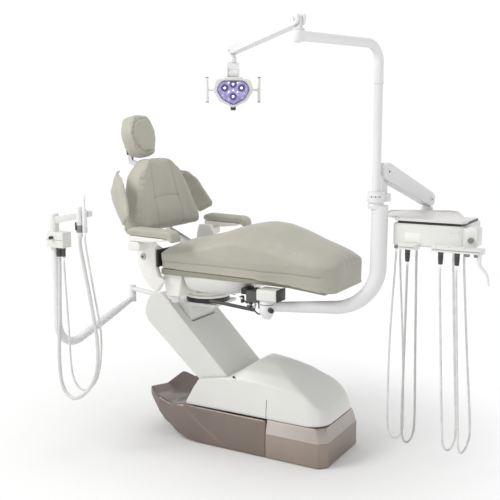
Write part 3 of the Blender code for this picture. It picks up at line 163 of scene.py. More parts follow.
# --------------------------------------------------------------- materials
class Graph:
    """Small helper around one material's node tree."""

    def __init__(self, name):
        self.mat = bpy.data.materials.new(name)
        self.mat.use_nodes = True
        self.tree = self.mat.node_tree
        self.shader = self.tree.nodes["Principled BSDF"]
        self.coords = self.tree.nodes.new("ShaderNodeTexCoord")
        self.height = None

    def set(self, **values):
        for key, value in values.items():
            socket = self.shader.inputs[key.replace("_", " ")]
            socket.default_value = (*value, 1.0) if isinstance(value, tuple) else value

    def node(self, kind, **values):
        made = self.tree.nodes.new(kind)
        for key, value in values.items():
            setattr(made, key, value)
        return made

    def link(self, a, b):
        self.tree.links.new(a, b)

    def scaled(self, factors):
        mapping = self.node("ShaderNodeMapping")
        mapping.inputs["Scale"].default_value = factors
        self.link(self.coords.outputs["Object"], mapping.inputs["Vector"])
        return mapping.outputs["Vector"]

    def noise(self, scale, detail=3.0, rough=0.55, stretch=None):
        tex = self.node("ShaderNodeTexNoise")
        tex.inputs["Scale"].default_value = scale
        tex.inputs["Detail"].default_value = detail
        tex.inputs["Roughness"].default_value = rough
        source = self.scaled(stretch) if stretch else self.coords.outputs["Object"]
        self.link(source, tex.inputs["Vector"])
        return tex.outputs["Fac"]

    def cells(self, scale, feature="F1"):
        tex = self.node("ShaderNodeTexVoronoi", feature=feature)
        tex.inputs["Scale"].default_value = scale
        self.link(self.coords.outputs["Object"], tex.inputs["Vector"])
        return tex.outputs["Distance"]

    def ramp(self, source, stops):
        ramp = self.node("ShaderNodeValToRGB")
        elements = ramp.color_ramp.elements
        while len(elements) < len(stops):
            elements.new(0.5)
        for element, (place, colour) in zip(elements, stops):
            element.position = place
            element.color = (*colour, 1.0)
        self.link(source, ramp.inputs["Fac"])
        return ramp.outputs["Color"]

    def spread(self, source, low, high):
        span = self.node("ShaderNodeMapRange")
        span.inputs["To Min"].default_value = low
        span.inputs["To Max"].default_value = high
        self.link(source, span.inputs["Value"])
        return span.outputs["Result"]

    def mottle(self, colour, amount, scale):
        """Base colour that drifts a little around one tone."""
        dark = tuple(c * (1 - amount) for c in colour)
        light = tuple(min(1.0, c * (1 + amount)) for c in colour)
        tint = self.ramp(self.noise(scale, 4.0), [(0.32, dark), (0.68, light)])
        self.link(tint, self.shader.inputs["Base Color"])
        return tint

    def worn(self, colour, amount, scale, edge, where=(0.52, 0.6)):
        """Mottled base colour, lighter or darker along sharp edges."""
        dark = tuple(c * (1 - amount) for c in colour)
        light = tuple(min(1.0, c * (1 + amount)) for c in colour)
        tint = self.ramp(self.noise(scale, 4.0), [(0.32, dark), (0.68, light)])
        geometry = self.node("ShaderNodeNewGeometry")
        mask = self.ramp(geometry.outputs["Pointiness"], [(where[0], (0, 0, 0)), (where[1], (1, 1, 1))])
        mix = self.node("ShaderNodeMix", data_type="RGBA")
        self.link(mask, mix.inputs["Factor"])
        self.link(tint, mix.inputs["A"])
        mix.inputs["B"].default_value = (*edge, 1.0)
        self.link(mix.outputs["Result"], self.shader.inputs["Base Color"])

    def roughness(self, low, high, scale, detail=3.0, stretch=None):
        self.link(
            self.spread(self.noise(scale, detail, 0.55, stretch), low, high),
            self.shader.inputs["Roughness"],
        )

    def bump(self, source, distance, strength=1.0):
        bump = self.node("ShaderNodeBump")
        bump.inputs["Strength"].default_value = strength
        bump.inputs["Distance"].default_value = distance
        self.link(source, bump.inputs["Height"])
        if self.height is not None:
            self.link(self.height, bump.inputs["Normal"])
        self.height = bump.outputs["Normal"]
        self.link(self.height, self.shader.inputs["Normal"])


def vinyl(name, colour):
    """Upholstery vinyl: pebbled grain, soft creases, roughness that varies at random."""
    g = Graph(name)
    g.mottle(colour, 0.05, 5.0)
    g.roughness(0.46, 0.62, 9.0)
    g.set(Sheen_Weight=0.12, Sheen_Roughness=0.5, Specular_IOR_Level=0.42)
    g.bump(g.cells(650.0), 0.00022, 0.55)
    g.bump(g.noise(1500.0, 2.0), 0.0001, 0.5)
    g.bump(g.noise(26.0, 3.0, 0.5, (1.0, 0.45, 1.0)), 0.0016, 0.3)
    return g.mat


def moulded(name, colour, rough=0.34, coat=0.12, peel=240.0, amount=0.018):
    """Moulded or painted housing: slight orange peel and a thin gloss coat."""
    g = Graph(name)
    g.worn(colour, amount, 3.0, tuple(min(1.0, c * 1.06) for c in colour), (0.53, 0.64))
    g.roughness(rough - 0.05, rough + 0.07, 14.0)
    g.set(Coat_Weight=coat, Coat_Roughness=0.18, Specular_IOR_Level=0.48)
    g.bump(g.noise(peel, 2.0), 0.00012, 0.35)
    g.bump(g.noise(7.0, 2.0), 0.0012, 0.12)
    return g.mat


def flake(name, colour):
    """Metallic lacquer with fine flakes."""
    g = Graph(name)
    g.worn(colour, 0.07, 4.0, tuple(min(1.0, c * 1.5) for c in colour), (0.53, 0.6))
    g.roughness(0.3, 0.44, 800.0, 2.0)
    g.set(Metallic=0.72, Coat_Weight=0.35, Coat_Roughness=0.16)
    g.bump(g.cells(1400.0), 0.00006, 0.4)
    g.bump(g.noise(8.0, 2.0), 0.001, 0.12)
    return g.mat


def metal(name, colour, rough, stretch=(1.0, 1.0, 40.0)):
    """Brushed or machined metal."""
    g = Graph(name)
    g.mottle(colour, 0.06, 18.0)
    g.roughness(rough - 0.07, rough + 0.1, 90.0, 3.0, stretch)
    g.set(Metallic=1.0)
    g.bump(g.noise(160.0, 2.0, 0.6, stretch), 0.00008, 0.5)
    return g.mat


def plastic(name, colour, rough, grain=900.0, depth=0.0001):
    """Textured engineering plastic or rubber."""
    g = Graph(name)
    g.worn(colour, 0.12, 30.0, tuple(min(1.0, c * 1.9 + 0.01) for c in colour), (0.53, 0.62))
    g.roughness(rough - 0.08, rough + 0.08, 60.0)
    g.bump(g.noise(grain, 2.0), depth, 0.6)
    return g.mat


def ribbed(name, colour, pitch, depth, rough=0.45):
    """Hose whose wall is ringed along its drop."""
    g = Graph(name)
    g.mottle(colour, 0.06, 12.0)
    g.roughness(rough - 0.06, rough + 0.06, 30.0)
    wave = g.node("ShaderNodeTexWave", bands_direction="Z")
    wave.inputs["Scale"].default_value = math.tau / pitch / 20.0
    wave.inputs["Distortion"].default_value = 0.0
    g.link(g.coords.outputs["Object"], wave.inputs["Vector"])
    g.bump(wave.outputs["Fac"], depth, 0.7)
    return g.mat


def cast(name, colour):
    """Sand-cast and painted iron."""
    g = Graph(name)
    g.worn(colour, 0.18, 12.0, tuple(min(1.0, c * 2.2) for c in colour), (0.54, 0.64))
    g.roughness(0.55, 0.78, 40.0)
    g.set(Metallic=0.35)
    g.bump(g.noise(320.0, 4.0), 0.0005, 0.6)
    return g.mat


def tinted_lens(name, colour):
    """Clear lens over violet reflectors."""
    g = Graph(name)
    bright = tuple(min(1.0, c * 2.2) for c in colour)
    deep = tuple(c * 0.6 for c in colour)
    tint = g.ramp(g.cells(75.0), [(0.0, bright), (0.35, colour), (1.0, deep)])
    g.link(tint, g.shader.inputs["Base Color"])
    g.roughness(0.06, 0.14, 60.0)
    g.set(Coat_Weight=0.8, Coat_Roughness=0.04, Specular_IOR_Level=0.6)
    g.bump(g.cells(190.0), 0.0006, 0.5)
    return g.mat


def glowing(name, colour, strength):
    g = Graph(name)
    g.mottle(colour, 0.03, 200.0)
    g.roughness(0.1, 0.2, 90.0)
    g.set(Emission_Color=colour, Emission_Strength=strength, Coat_Weight=0.5)
    return g.mat


SAGE = vinyl("sage_vinyl", (0.395, 0.385, 0.325))
# darker copy of the sage vinyl: painted shade, for seam threads and the seat frame
SAGE_PAINTED_SHADE = vinyl("sage_vinyl_painted_shade", (0.27, 0.26, 0.2))
WHITE = moulded("white_shell", (0.68, 0.68, 0.655))
CREAM = moulded("ivory_shell", (0.8, 0.79, 0.755), 0.38)
PAINT = moulded("white_powder_coat", (0.72, 0.72, 0.725), 0.36, 0.08, 420.0)
TAUPE = flake("taupe_lacquer", (0.225, 0.182, 0.157))
# lighter copy of the taupe lacquer: painted highlight for the skirt's upward-facing band
TAUPE_PAINTED_HIGHLIGHT = flake("taupe_lacquer_painted_highlight", (0.36, 0.32, 0.295))
GREY = moulded("grey_tray", (0.66, 0.645, 0.635), 0.34)
STEEL = metal("brushed_steel", (0.56, 0.56, 0.57), 0.32)
CHROME = metal("polished_steel", (0.7, 0.7, 0.72), 0.16)
IRON = cast("cast_iron", (0.055, 0.055, 0.055))
BLACK = plastic("black_plastic", (0.012, 0.012, 0.012), 0.42)
DARK = plastic("dark_rubber", (0.055, 0.055, 0.053), 0.6)
MID = plastic("grey_rubber", (0.16, 0.16, 0.155), 0.55)
HOSE = plastic("grey_silicone", (0.6, 0.6, 0.59), 0.42, 500.0)
HOSE_DARK = plastic("grey_silicone_dark", (0.42, 0.42, 0.415), 0.42, 500.0)
SUCTION = ribbed("suction_hose", (0.64, 0.64, 0.63), 0.005, 0.0008)
LENS_DARK = tinted_lens("violet_reflector", (0.03, 0.02, 0.16))
LENS = tinted_lens("violet_lens", (0.36, 0.31, 0.66))
# glow for the lamp's LEDs, also used for painted glints on the lens
LED_GLOW_AND_PAINTED_GLINT = glowing("led_glow_and_painted_glint", (0.93, 0.92, 1.0), 1.5)
# near-black line colour: painted shadow of seam gaps
PAINTED_SEAM_SHADOW = plastic("seam_shadow", (0.1, 0.095, 0.07), 0.7)


# ----------------------------------------------------------------- helpers
SIDES = ((-1, "right"), (1, "left"))


def mesh_of(bm, name):
    mesh = bpy.data.meshes.new(name)
    bm.to_mesh(mesh)
    bm.free()
    return mesh


def node_mesh(node, name):
    """Welded copy of a CAD node's mesh."""
    bm = bmesh.new()
    bm.from_mesh(NODES[node].data)
    bmesh.ops.remove_doubles(bm, verts=bm.verts, dist=2e-5)
    bmesh.ops.recalc_face_normals(bm, faces=bm.faces)
    return mesh_of(bm, name)


def piece(name, mesh, mat, body=None, nodes=()):
    obj = bpy.data.objects.new(name, mesh)
    SCENE.collection.objects.link(obj)
    mesh.materials.clear()
    mesh.materials.append(mat)
    if body is not None:
        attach(obj, body)
    if nodes:
        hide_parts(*nodes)
    return obj


def bake(obj):
    """Replaces the object's mesh by its modified one."""
    bpy.context.view_layer.update()
    graph = bpy.context.evaluated_depsgraph_get()
    mesh = bpy.data.meshes.new_from_object(obj.evaluated_get(graph))
    obj.modifiers.clear()
    old = obj.data
    obj.data = mesh
    bpy.data.meshes.remove(old)
    return obj


def shade(obj, angle=None):
    obj.data.polygons.foreach_set("use_smooth", [True] * len(obj.data.polygons))
    if angle is not None:
        obj.data.set_sharp_from_angle(angle=math.radians(angle))
    obj.data.update()
    return obj


def bevelled(obj, width, segments=3, limit=38):
    bevel = obj.modifiers.new("bevel", "BEVEL")
    bevel.width = width
    bevel.segments = segments
    bevel.limit_method = "ANGLE"
    bevel.angle_limit = math.radians(limit)
    bevel.harden_normals = False
    return shade(bake(obj), 50)


def crisp(node, mat, width=0.0015, segments=2, limit=38):
    """Hard part kept in its CAD shape, with small rounded edges."""
    mesh = node_mesh(node, node + "_body")
    bm = bmesh.new()
    bm.from_mesh(mesh)
    bmesh.ops.dissolve_limit(bm, angle_limit=math.radians(1.0), verts=bm.verts, edges=bm.edges)
    bm.to_mesh(mesh)
    bm.free()
    obj = piece(node + "_body", mesh, mat, NODES[node]["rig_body"], [node])
    return bevelled(obj, width, segments, limit)


def add_remesh(obj, voxel):
    remesh = obj.modifiers.new("remesh", "REMESH")
    remesh.mode = "VOXEL"
    remesh.voxel_size = voxel


def smoothed(obj, passes, factor=0.5):
    soften = obj.modifiers.new("smooth", "SMOOTH")
    soften.factor = factor
    soften.iterations = passes
    return shade(bake(obj))


def rounded_copy(node, mat, voxel, passes, name=None, factor=0.5):
    """CAD node remeshed finely and smoothed, so that its edges turn to soft radii."""
    name = name or node + "_shell"
    obj = piece(name, node_mesh(node, name), mat, NODES[node]["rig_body"], [node])
    add_remesh(obj, voxel)
    return smoothed(obj, passes, factor)


def coords(obj):
    co = np.empty(len(obj.data.vertices) * 3)
    obj.data.vertices.foreach_get("co", co)
    return co.reshape(-1, 3)


def normals(obj):
    no = np.empty(len(obj.data.vertices) * 3)
    obj.data.vertices.foreach_get("normal", no)
    return no.reshape(-1, 3)


def set_coords(obj, co):
    obj.data.vertices.foreach_set("co", np.asarray(co, float).ravel())
    obj.data.update()


def subdivide(obj, levels=1):
    sub = obj.modifiers.new("subdivision", "SUBSURF")
    sub.levels = levels
    sub.render_levels = levels
    return shade(bake(obj))


def distance_to(co, line):
    """Distance from each point to a polyline."""
    best = np.full(len(co), 1e9)
    for a, b in zip(line[:-1], line[1:]):
        a = np.asarray(a, float)
        d = np.asarray(b, float) - a
        t = np.clip(((co - a) @ d) / max(d @ d, 1e-12), 0, 1)
        best = np.minimum(best, np.linalg.norm(co - (a + t[:, None] * d), axis=1))
    return best


def curve_through(points, count):
    """Evenly spaced points on a smooth curve through the given ones."""
    pts = [Vector(p) for p in points]
    pts = [2 * pts[0] - pts[1]] + pts + [2 * pts[-1] - pts[-2]]
    fine = []
    for i in range(1, len(pts) - 2):
        for k in range(24):
            t = k / 24
            a, b, c, d = pts[i - 1 : i + 3]
            fine.append(
                0.5
                * (
                    2 * b
                    + (c - a) * t
                    + (2 * a - 5 * b + 4 * c - d) * t**2
                    + (3 * b - a - 3 * c + d) * t**3
                )
            )
    fine.append(pts[-2])
    run = [0.0]
    for i in range(1, len(fine)):
        run.append(run[-1] + (fine[i] - fine[i - 1]).length)
    out = []
    j = 0
    for i in range(count):
        s = run[-1] * i / (count - 1)
        while j < len(run) - 2 and run[j + 1] < s:
            j += 1
        t = (s - run[j]) / max(run[j + 1] - run[j], 1e-9)
        out.append(fine[j].lerp(fine[j + 1], min(t, 1.0)))
    return out


def bend_path(corners, radius, steps=12):
    """Open 3-D path with its inner corners rounded."""
    points = [Vector(corners[0])]
    for i in range(1, len(corners) - 1):
        here = Vector(corners[i])
        before = (Vector(corners[i - 1]) - here).normalized()
        after = (Vector(corners[i + 1]) - here).normalized()
        half = before.angle(after) / 2
        reach = radius / math.tan(half)
        centre = here + (before + after).normalized() * radius / math.sin(half)
        first = here + before * reach - centre
        last = here + after * reach - centre
        for k in range(steps + 1):
            points.append(centre + first.slerp(last, k / steps).normalized() * radius)
    points.append(Vector(corners[-1]))
    return points


def line(name, points, radius, mat, body, nodes=(), sides=3, scale=None, cyclic=False):
    """Round bar or cord along points."""
    data = bpy.data.curves.new(name, "CURVE")
    data.dimensions = "3D"
    data.bevel_depth = radius
    data.bevel_resolution = sides
    data.use_fill_caps = True
    spline = data.splines.new("POLY")
    spline.points.add(len(points) - 1)
    spline.use_cyclic_u = cyclic
    for i, p in enumerate(points):
        spline.points[i].co = (*p, 1.0)
        spline.points[i].radius = scale[i] if scale else 1.0
    spline.use_smooth = True
    obj = bpy.data.objects.new(name, data)
    SCENE.collection.objects.link(obj)
    data.materials.append(mat)
    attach(obj, body)
    if nodes:
        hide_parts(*nodes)
    return obj


def turned(name, stations, mat, body, sides=32, nodes=()):
    """Turned part: stations are (point, radius) along one axis, closed at both ends."""
    points = [Vector(p) for p, r in stations]
    axis = (points[-1] - points[0]).normalized()
    turn = axis.to_track_quat("Z", "Y").to_matrix()
    bm = bmesh.new()
    rings = []
    for p, (_, r) in zip(points, stations):
        ring = []
        for k in range(sides):
            a = math.tau * k / sides
            ring.append(bm.verts.new(p + turn @ Vector((r * math.cos(a), r * math.sin(a), 0))))
        rings.append(ring)
    for a, b in zip(rings, rings[1:]):
        for k in range(sides):
            n = (k + 1) % sides
            bm.faces.new((a[k], a[n], b[n], b[k]))
    bm.faces.new(rings[0][::-1])
    bm.faces.new(rings[-1])
    bmesh.ops.recalc_face_normals(bm, faces=bm.faces)
    mesh = mesh_of(bm, name)
    return shade(piece(name, mesh, mat, body, nodes), 42)


def lathe(name, spot, stations, mat, body, sides, nodes=()):
    """Turned piece on an upright axis through spot; stations are (height, radius)."""
    x, y = spot
    return turned(name, [((x, y, z), r) for z, r in stations], mat, body, sides, nodes)


def peg(name, low, high, radius, mat, body, chamfer=0.001, sides=28):
    """Turned pin with chamfered ends."""
    low = Vector(low)
    high = Vector(high)
    step = (high - low).normalized() * min(chamfer, (high - low).length * 0.3)
    small = max(radius - chamfer, radius * 0.4)
    stations = [(low, small), (low + step, radius), (high - step, radius), (high, small)]
    return turned(name, stations, mat, body, sides)


def brick(name, low, high, mat, body, bevel=0.003, turn=None):
    """Rounded block, or one turned about its middle."""
    bm = bmesh.new()
    bmesh.ops.create_cube(bm, size=1.0)
    mesh = mesh_of(bm, name)
    size = Vector(high) - Vector(low)
    middle = (Vector(high) + Vector(low)) / 2
    mesh.transform(
        Matrix.Translation(middle)
        @ (turn.to_4x4() if turn is not None else Matrix.Identity(4))
        @ Matrix.Diagonal((*size, 1.0))
    )
    obj = piece(name, mesh, mat, body)
    return bevelled(obj, bevel, 3, 30)


def plate(name, outline, low, high, view, mat, body, bevel=0.002, nodes=()):
    """Flat outline with thickness along the view's third axis and rounded rims."""
    bm = bmesh.new()
    bottom = [bm.verts.new((u, v, low)) for u, v in outline]
    top = [bm.verts.new((u, v, high)) for u, v in outline]
    bm.faces.new(bottom[::-1])
    bm.faces.new(top)
    count = len(outline)
    for k in range(count):
        n = (k + 1) % count
        bm.faces.new((bottom[k], bottom[n], top[n], top[k]))
    bmesh.ops.recalc_face_normals(bm, faces=bm.faces)
    mesh = mesh_of(bm, name)
    mesh.transform(view)
    if view.determinant() < 0:
        mesh.flip_normals()
    return bevelled(piece(name, mesh, mat, body, nodes), bevel, 3, 30)


def loft(name, sections, mat, body, nodes=(), levels=1):
    """Closed skin through rings of equal point count."""
    bm = bmesh.new()
    rings = [[bm.verts.new(p) for p in ring] for ring in sections]
    count = len(rings[0])
    for a, b in zip(rings, rings[1:]):
        for k in range(count):
            n = (k + 1) % count
            bm.faces.new((a[k], a[n], b[n], b[k]))
    bm.faces.new(rings[0][::-1])
    bm.faces.new(rings[-1])
    bmesh.ops.recalc_face_normals(bm, faces=bm.faces)
    mesh = mesh_of(bm, name)
    obj = piece(name, mesh, mat, body, nodes)
    return subdivide(obj, levels) if levels else shade(obj, 40)


def arc(centre, radius, start, end, steps):
    points = []
    for i in range(steps + 1):
        a = math.radians(start + (end - start) * i / steps)
        points.append((centre[0] + radius * math.cos(a), centre[1] + radius * math.sin(a)))
    return points


def rounded(corners, radius, steps=6):
    """Closed outline with every corner rounded; radius is one number or one per corner."""
    count = len(corners)
    radii = radius if isinstance(radius, (list, tuple)) else [radius] * count
    points = []
    for i in range(count):
        here = Vector(corners[i])
        before = (Vector(corners[i - 1]) - here).normalized()
        after = (Vector(corners[(i + 1) % count]) - here).normalized()
        half = before.angle(after) / 2
        if radii[i] < 1e-6:
            points.append(tuple(here))
            continue
        reach = radii[i] / math.tan(half)
        centre = here + (before + after).normalized() * radii[i] / math.sin(half)
        first = here + before * reach - centre
        last = here + after * reach - centre
        sweep = first.angle_signed(last)
        for k in range(steps + 1):
            turn = Matrix.Rotation(-sweep * k / steps, 2)
            points.append(tuple(centre + turn @ first))
    return points


FRONT = Matrix(((0, 0, 1, 0), (1, 0, 0, 0), (0, 1, 0, 0), (0, 0, 0, 1)))  # (u, v) is (y, z)
PLAN = Matrix.Identity(4)  # (u, v) is (x, y)


def groove(obj, path, width, depth):
    """Presses a seam into a piece along a path near its surface."""
    co = coords(obj)
    d = distance_to(co, path)
    push = depth * np.exp(-((d / width) ** 2))
    set_coords(obj, co - normals(obj) * push[:, None])


def on_surface(obj, points, lift=0.0):
    """Points dropped on to the nearest place of a piece's surface."""
    tree = BVHTree.FromPolygons(
        [v.co.copy() for v in obj.data.vertices], [tuple(p.vertices) for p in obj.data.polygons]
    )
    out = []
    for p in points:
        place, normal, _, _ = tree.find_nearest(Vector(p))
        out.append(place + normal * lift)
    return out


make_camera()
make_studio()
make_floor()

# ------------------------------------------------------------------- cords
RELIEFS = {"b": (0.86, -0.022), "c": (0.995, -0.022), "e": (1.06, -0.022)}
GLANDS = {
    "a_front": (0.8, 0.016),
    "a_rear": (0.803, 0.06),
    "b": (0.873, 0.055),
    "c": (1.03, 0.04),
    "e": (1.063, 0.08),
}
CORD_POINTS = 110


def free_cord(name, route, radius, mat, node):
    points = curve_through(route, CORD_POINTS)
    body = NODES[node]["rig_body"]
    obj = line(name, points, radius, mat, body, [node], 4)
    return points


def make_delivery_cords():
    low = 0.112
    a = GLANDS["a_front"]
    b = GLANDS["a_rear"]
    route = [(a[0], a[1], 0.9297), (a[0] - 0.003, a[1], 0.86), (a[0] - 0.018, a[1], 0.55)]
    route += [(a[0] - 0.02, a[1], 0.24), (a[0] - 0.012, a[1] + 0.006, low + 0.02)]
    route += [(a[0] + 0.01, a[1] + 0.022, low - 0.002), (a[0] + 0.034, a[1] + 0.038, low + 0.028)]
    route += [(a[0] + 0.034, b[1], 0.25), (a[0] + 0.022, b[1], 0.55)]
    route += [(b[0], b[1], 0.86), (b[0], b[1], 0.9297)]
    free_cord("delivery_tubing_a", route, 0.004, HOSE, "tubing_a")
    for key, lean, swing in (("b", -0.004, 0.03), ("c", 0.03, 0.04), ("e", 0.03, 0.022)):
        x, y = RELIEFS[key]
        u, v = GLANDS[key]
        side = x + lean
        route = [(x, y, 0.8847), (x, y, 0.82), (x + lean * 0.6, y, 0.45), (side, y, 0.22)]
        route += [(side + swing * 0.12, y + 0.01, low + 0.024), (side + swing * 0.5, y + 0.036, low)]
        route += [(side + swing * 0.9, v - 0.01, low + 0.028), (side + swing, v, 0.22)]
        route += [(0.5 * (side + swing + u), v, 0.52), (u, v, 0.86), (u, v, 0.9297)]
        mat = HOSE_DARK if key == "b" else HOSE
        free_cord(f"delivery_tubing_{key}", route, 0.0048, mat, f"tubing_{key}")


def make_aide_cords():
    x, y = -0.53, -0.54
    route = [
        (x + 0.16, y - 0.0238, 0.9647), (x + 0.162, y - 0.0238, 0.915),
        (x + 0.206, y - 0.0238, 0.7),
    ]
    route += [
        (x + 0.236, y - 0.024, 0.52), (x + 0.224, y - 0.024, 0.385),
        (x + 0.165, y - 0.024, 0.295),
    ]
    route += [
        (x + 0.092, y - 0.024, 0.258), (x + 0.036, y - 0.024, 0.305),
        (x + 0.022, y - 0.024, 0.43),
    ]
    route += [
        (x + 0.028, y - 0.018, 0.62), (x + 0.032, y - 0.012, 0.82),
        (x + 0.032, y - 0.012, 0.8677),
    ]
    free_cord("suction_hose", route, 0.0078, SUCTION, "hve_hose")
    route = [
        (x + 0.186, y - 0.0213, 0.9847), (x + 0.186, y - 0.02, 0.93),
        (x + 0.212, y - 0.004, 0.72),
    ]
    route += [(x + 0.238, y, 0.54), (x + 0.218, y, 0.38), (x + 0.165, y, 0.305)]
    route += [(x + 0.108, y, 0.3), (x + 0.07, y, 0.37), (x + 0.064, y - 0.004, 0.56)]
    route += [(x + 0.058, y - 0.012, 0.82), (x + 0.058, y - 0.012, 0.8677)]
    free_cord("aide_syringe_tubing", route, 0.0042, HOSE, "aide_tubing")


make_delivery_cords()
make_aide_cords()

# -------------------------------------------------------------- upholstery
BACK_LEAN = math.radians(12.0)
BACK_FOOT = (-0.318, 0.94)
BACK_VIEW = (
    Matrix.Translation((BACK_FOOT[0], 0, BACK_FOOT[1]))
    @ Matrix.Rotation(-BACK_LEAN, 4, "Y")
    @ FRONT
)  # (u, v) is (y, distance up the back); the third axis points forward
BACK_BACKWARD = BACK_VIEW.inverted()
PRESSURE = 4.0
FRAMES = 20


def on_back(y, up, out):
    """World point at a place on the backrest."""
    return BACK_VIEW @ Vector((y, up, out))


def swell(pads):
    """Blows the pads up a little with cloth pressure; pads are (object, cap, flat) rows."""
    before = {}
    for obj, cap, flat in pads:
        before[obj.name] = (coords(obj), normals(obj))
        cloth = obj.modifiers.new("cloth", "CLOTH")
        cloth.settings.use_pressure = True
        cloth.settings.uniform_pressure_force = PRESSURE
        cloth.settings.quality = 4
        cloth.settings.mass = 0.25
        cloth.settings.effector_weights.gravity = 0.0
        cloth.collision_settings.use_collision = False
    for k in range(1, FRAMES + 1):
        SCENE.frame_set(k)
    graph = bpy.context.evaluated_depsgraph_get()
    for obj, cap, flat in pads:
        shaped = obj.evaluated_get(graph).data
        after = np.empty(len(shaped.vertices) * 3)
        shaped.vertices.foreach_get("co", after)
        old, facing = before[obj.name]
        move = after.reshape(-1, 3) - old
        size = np.linalg.norm(move, axis=1)
        move *= np.minimum(1.0, cap / np.maximum(size, 1e-9))[:, None]
        hold = 1.0 - np.clip((facing @ np.asarray(flat, float) - 0.3) / 0.4, 0, 1)
        obj.modifiers.clear()
        set_coords(obj, old + move * hold[:, None])
    SCENE.frame_set(1)


def pad_block(node, name, voxel, passes, mat=None, factor=0.5):
    obj = rounded_copy(node, mat or SAGE, voxel, passes, name, factor)
    return obj


SEAT_PLAN = ((-0.2, 0.268), (0.25, 0.268), (0.4, 0.252), (0.52, 0.225), (0.6, 0.2))


def seat_half(x):
    return np.interp(x, [p[0] for p in SEAT_PLAN], [p[1] for p in SEAT_PLAN])


SEAT_TOP = (
    (-0.195, 0.9),
    (-0.08, 0.916),
    (0.03, 0.943),
    (0.13, 0.978),
    (0.19, 0.99),
    (0.25, 0.985),
    (0.315, 0.968),
    (0.42, 0.93),
    (0.55, 0.89),
    (0.615, 0.865),
)


def seat_top(x):
    return np.interp(x, [p[0] for p in SEAT_TOP], [p[1] for p in SEAT_TOP])


def shape_seat(obj):
    """Crowns the seat across its width, so that its long edges fall away."""
    co = coords(obj)
    top = seat_top(co[:, 0])
    share = np.clip((co[:, 2] - 0.8) / np.maximum(top - 0.8, 0.02), 0, 1)
    side = np.abs(co[:, 1]) / seat_half(co[:, 0])
    drop = np.interp(co[:, 0], [-0.2, 0.1, 0.3, 0.6], [0.02, 0.04, 0.048, 0.036])
    co[:, 2] -= drop * np.clip(side, 0, 1.05) ** 2.6 * share**1.5
    pull = 0.018 * np.clip((0.865 - co[:, 2]) / 0.06, 0, 1) * (side > 0.6)
    co[:, 1] -= np.sign(co[:, 1]) * pull * np.clip((side - 0.6) / 0.4, 0, 1)
    set_coords(obj, co)


seat_pad = pad_block("seat_cushion", "seat_upholstery", 0.0085, 9)
shape_seat(seat_pad)
back_pad = pad_block("back_cushion", "back_upholstery", 0.0065, 7)
wing_pads = [
    pad_block(f"wing_{side}", f"wing_{side}_upholstery", 0.0055, 4) for side in ("right", "left")
]
head_pad = pad_block("headrest_cushion", "headrest_upholstery", 0.005, 10)
arm_pads = [
    pad_block(f"armrest_pad_{side}", f"armrest_{side}_upholstery", 0.0042, 5)
    for side in ("right", "left")
]
BACK_NORMAL = tuple(BACK_VIEW.to_3x3() @ Vector((0, 0, -1)))
swell(
    [
        (seat_pad, 0.01, (0, 0, -1)),
        (back_pad, 0.01, BACK_NORMAL),
        (wing_pads[0], 0.004, BACK_NORMAL),
        (wing_pads[1], 0.004, BACK_NORMAL),
        (head_pad, 0.006, BACK_NORMAL),
        (arm_pads[0], 0.004, (0, 0, -1)),
        (arm_pads[1], 0.004, (0, 0, -1)),
    ]
)
seat_pad = subdivide(seat_pad)
back_pad = subdivide(back_pad)
head_pad = subdivide(head_pad)
for pad in wing_pads + arm_pads:
    subdivide(pad)


def shape_back(obj):
    """Bolsters at both sides, a lumbar swell between them and a rounded crown."""
    co = coords(obj)
    local = (np.c_[co, np.ones(len(co))] @ np.array(BACK_BACKWARD).T)[:, :3]
    y, up, out = local.T
    front = np.clip((out + 0.02) / 0.03, 0, 1)
    half = np.interp(up, [0.0, 0.08, 0.29, 0.35], [0.262, 0.255, 0.175, 0.11])
    side = np.abs(y) / half
    bolster = 0.007 * np.exp(-(((side - 0.8) / 0.16) ** 2))
    valley = -0.005 * np.exp(-((side / 0.5) ** 2))
    lumbar = 0.008 * np.exp(-(((up - 0.085) / 0.055) ** 2)) * np.exp(-((y / 0.13) ** 4))
    out = out + front * (bolster + valley + lumbar)
    crown = np.clip((up - 0.2) / 0.15, 0, 1)
    up = up - 0.02 * crown * np.clip(side, 0, 1) ** 3
    y = y * (1.0 - 0.2 * crown**2)
    local = np.c_[y, up, out, np.ones(len(co))]
    set_coords(obj, (local @ np.array(BACK_VIEW).T)[:, :3])


shape_back(back_pad)


def seam(obj, points, width, depth, name=None, body=None, thread=0.0, count=60):
    """Sewn line: a groove, with an optional thread lying in it; the thread is in the darker sage copy,
    its own stitch colour and also painted shade in the groove.
    """
    path = on_surface(obj, curve_through(points, count))
    groove(obj, path, width, depth)
    if thread:
        lying = on_surface(obj, path, thread * 0.2)
        line(name, lying, thread, SAGE_PAINTED_SHADE, body, sides=2)


def back_seams():
    for sign, side in SIDES:
        points = [on_back(sign * y, up, 0.03) for y, up in (
            (0.098, 0.012), (0.1, 0.08), (0.093, 0.15),
        )]
        points += [on_back(sign * y, up, 0.03) for y, up in ((0.083, 0.25), (0.07, 0.336))]
        seam(back_pad, points, 0.007, 0.0028, f"back_seam_{side}", "backrest", 0.0006)
    points = [on_back(y, 0.152 + 0.006 * math.cos(y * 16), 0.03) for y in (
        -0.092, -0.05, 0, 0.05, 0.092,
    )]
    seam(back_pad, points, 0.007, 0.0024, "lumbar_seam_top", "backrest", 0.0006)


back_seams()


def headrest_seams():
    """Piping round the headrest's face."""
    ring = []
    for k in range(41):
        a = math.tau * k / 40
        y = 0.088 * math.cos(a)
        up = 0.4535 + 0.086 * math.sin(a)
        ring.append(on_back(y, up, -0.02))
    seam(head_pad, ring, 0.006, 0.003, "headrest_seam", "headrest", 0.0006, 120)


headrest_seams()


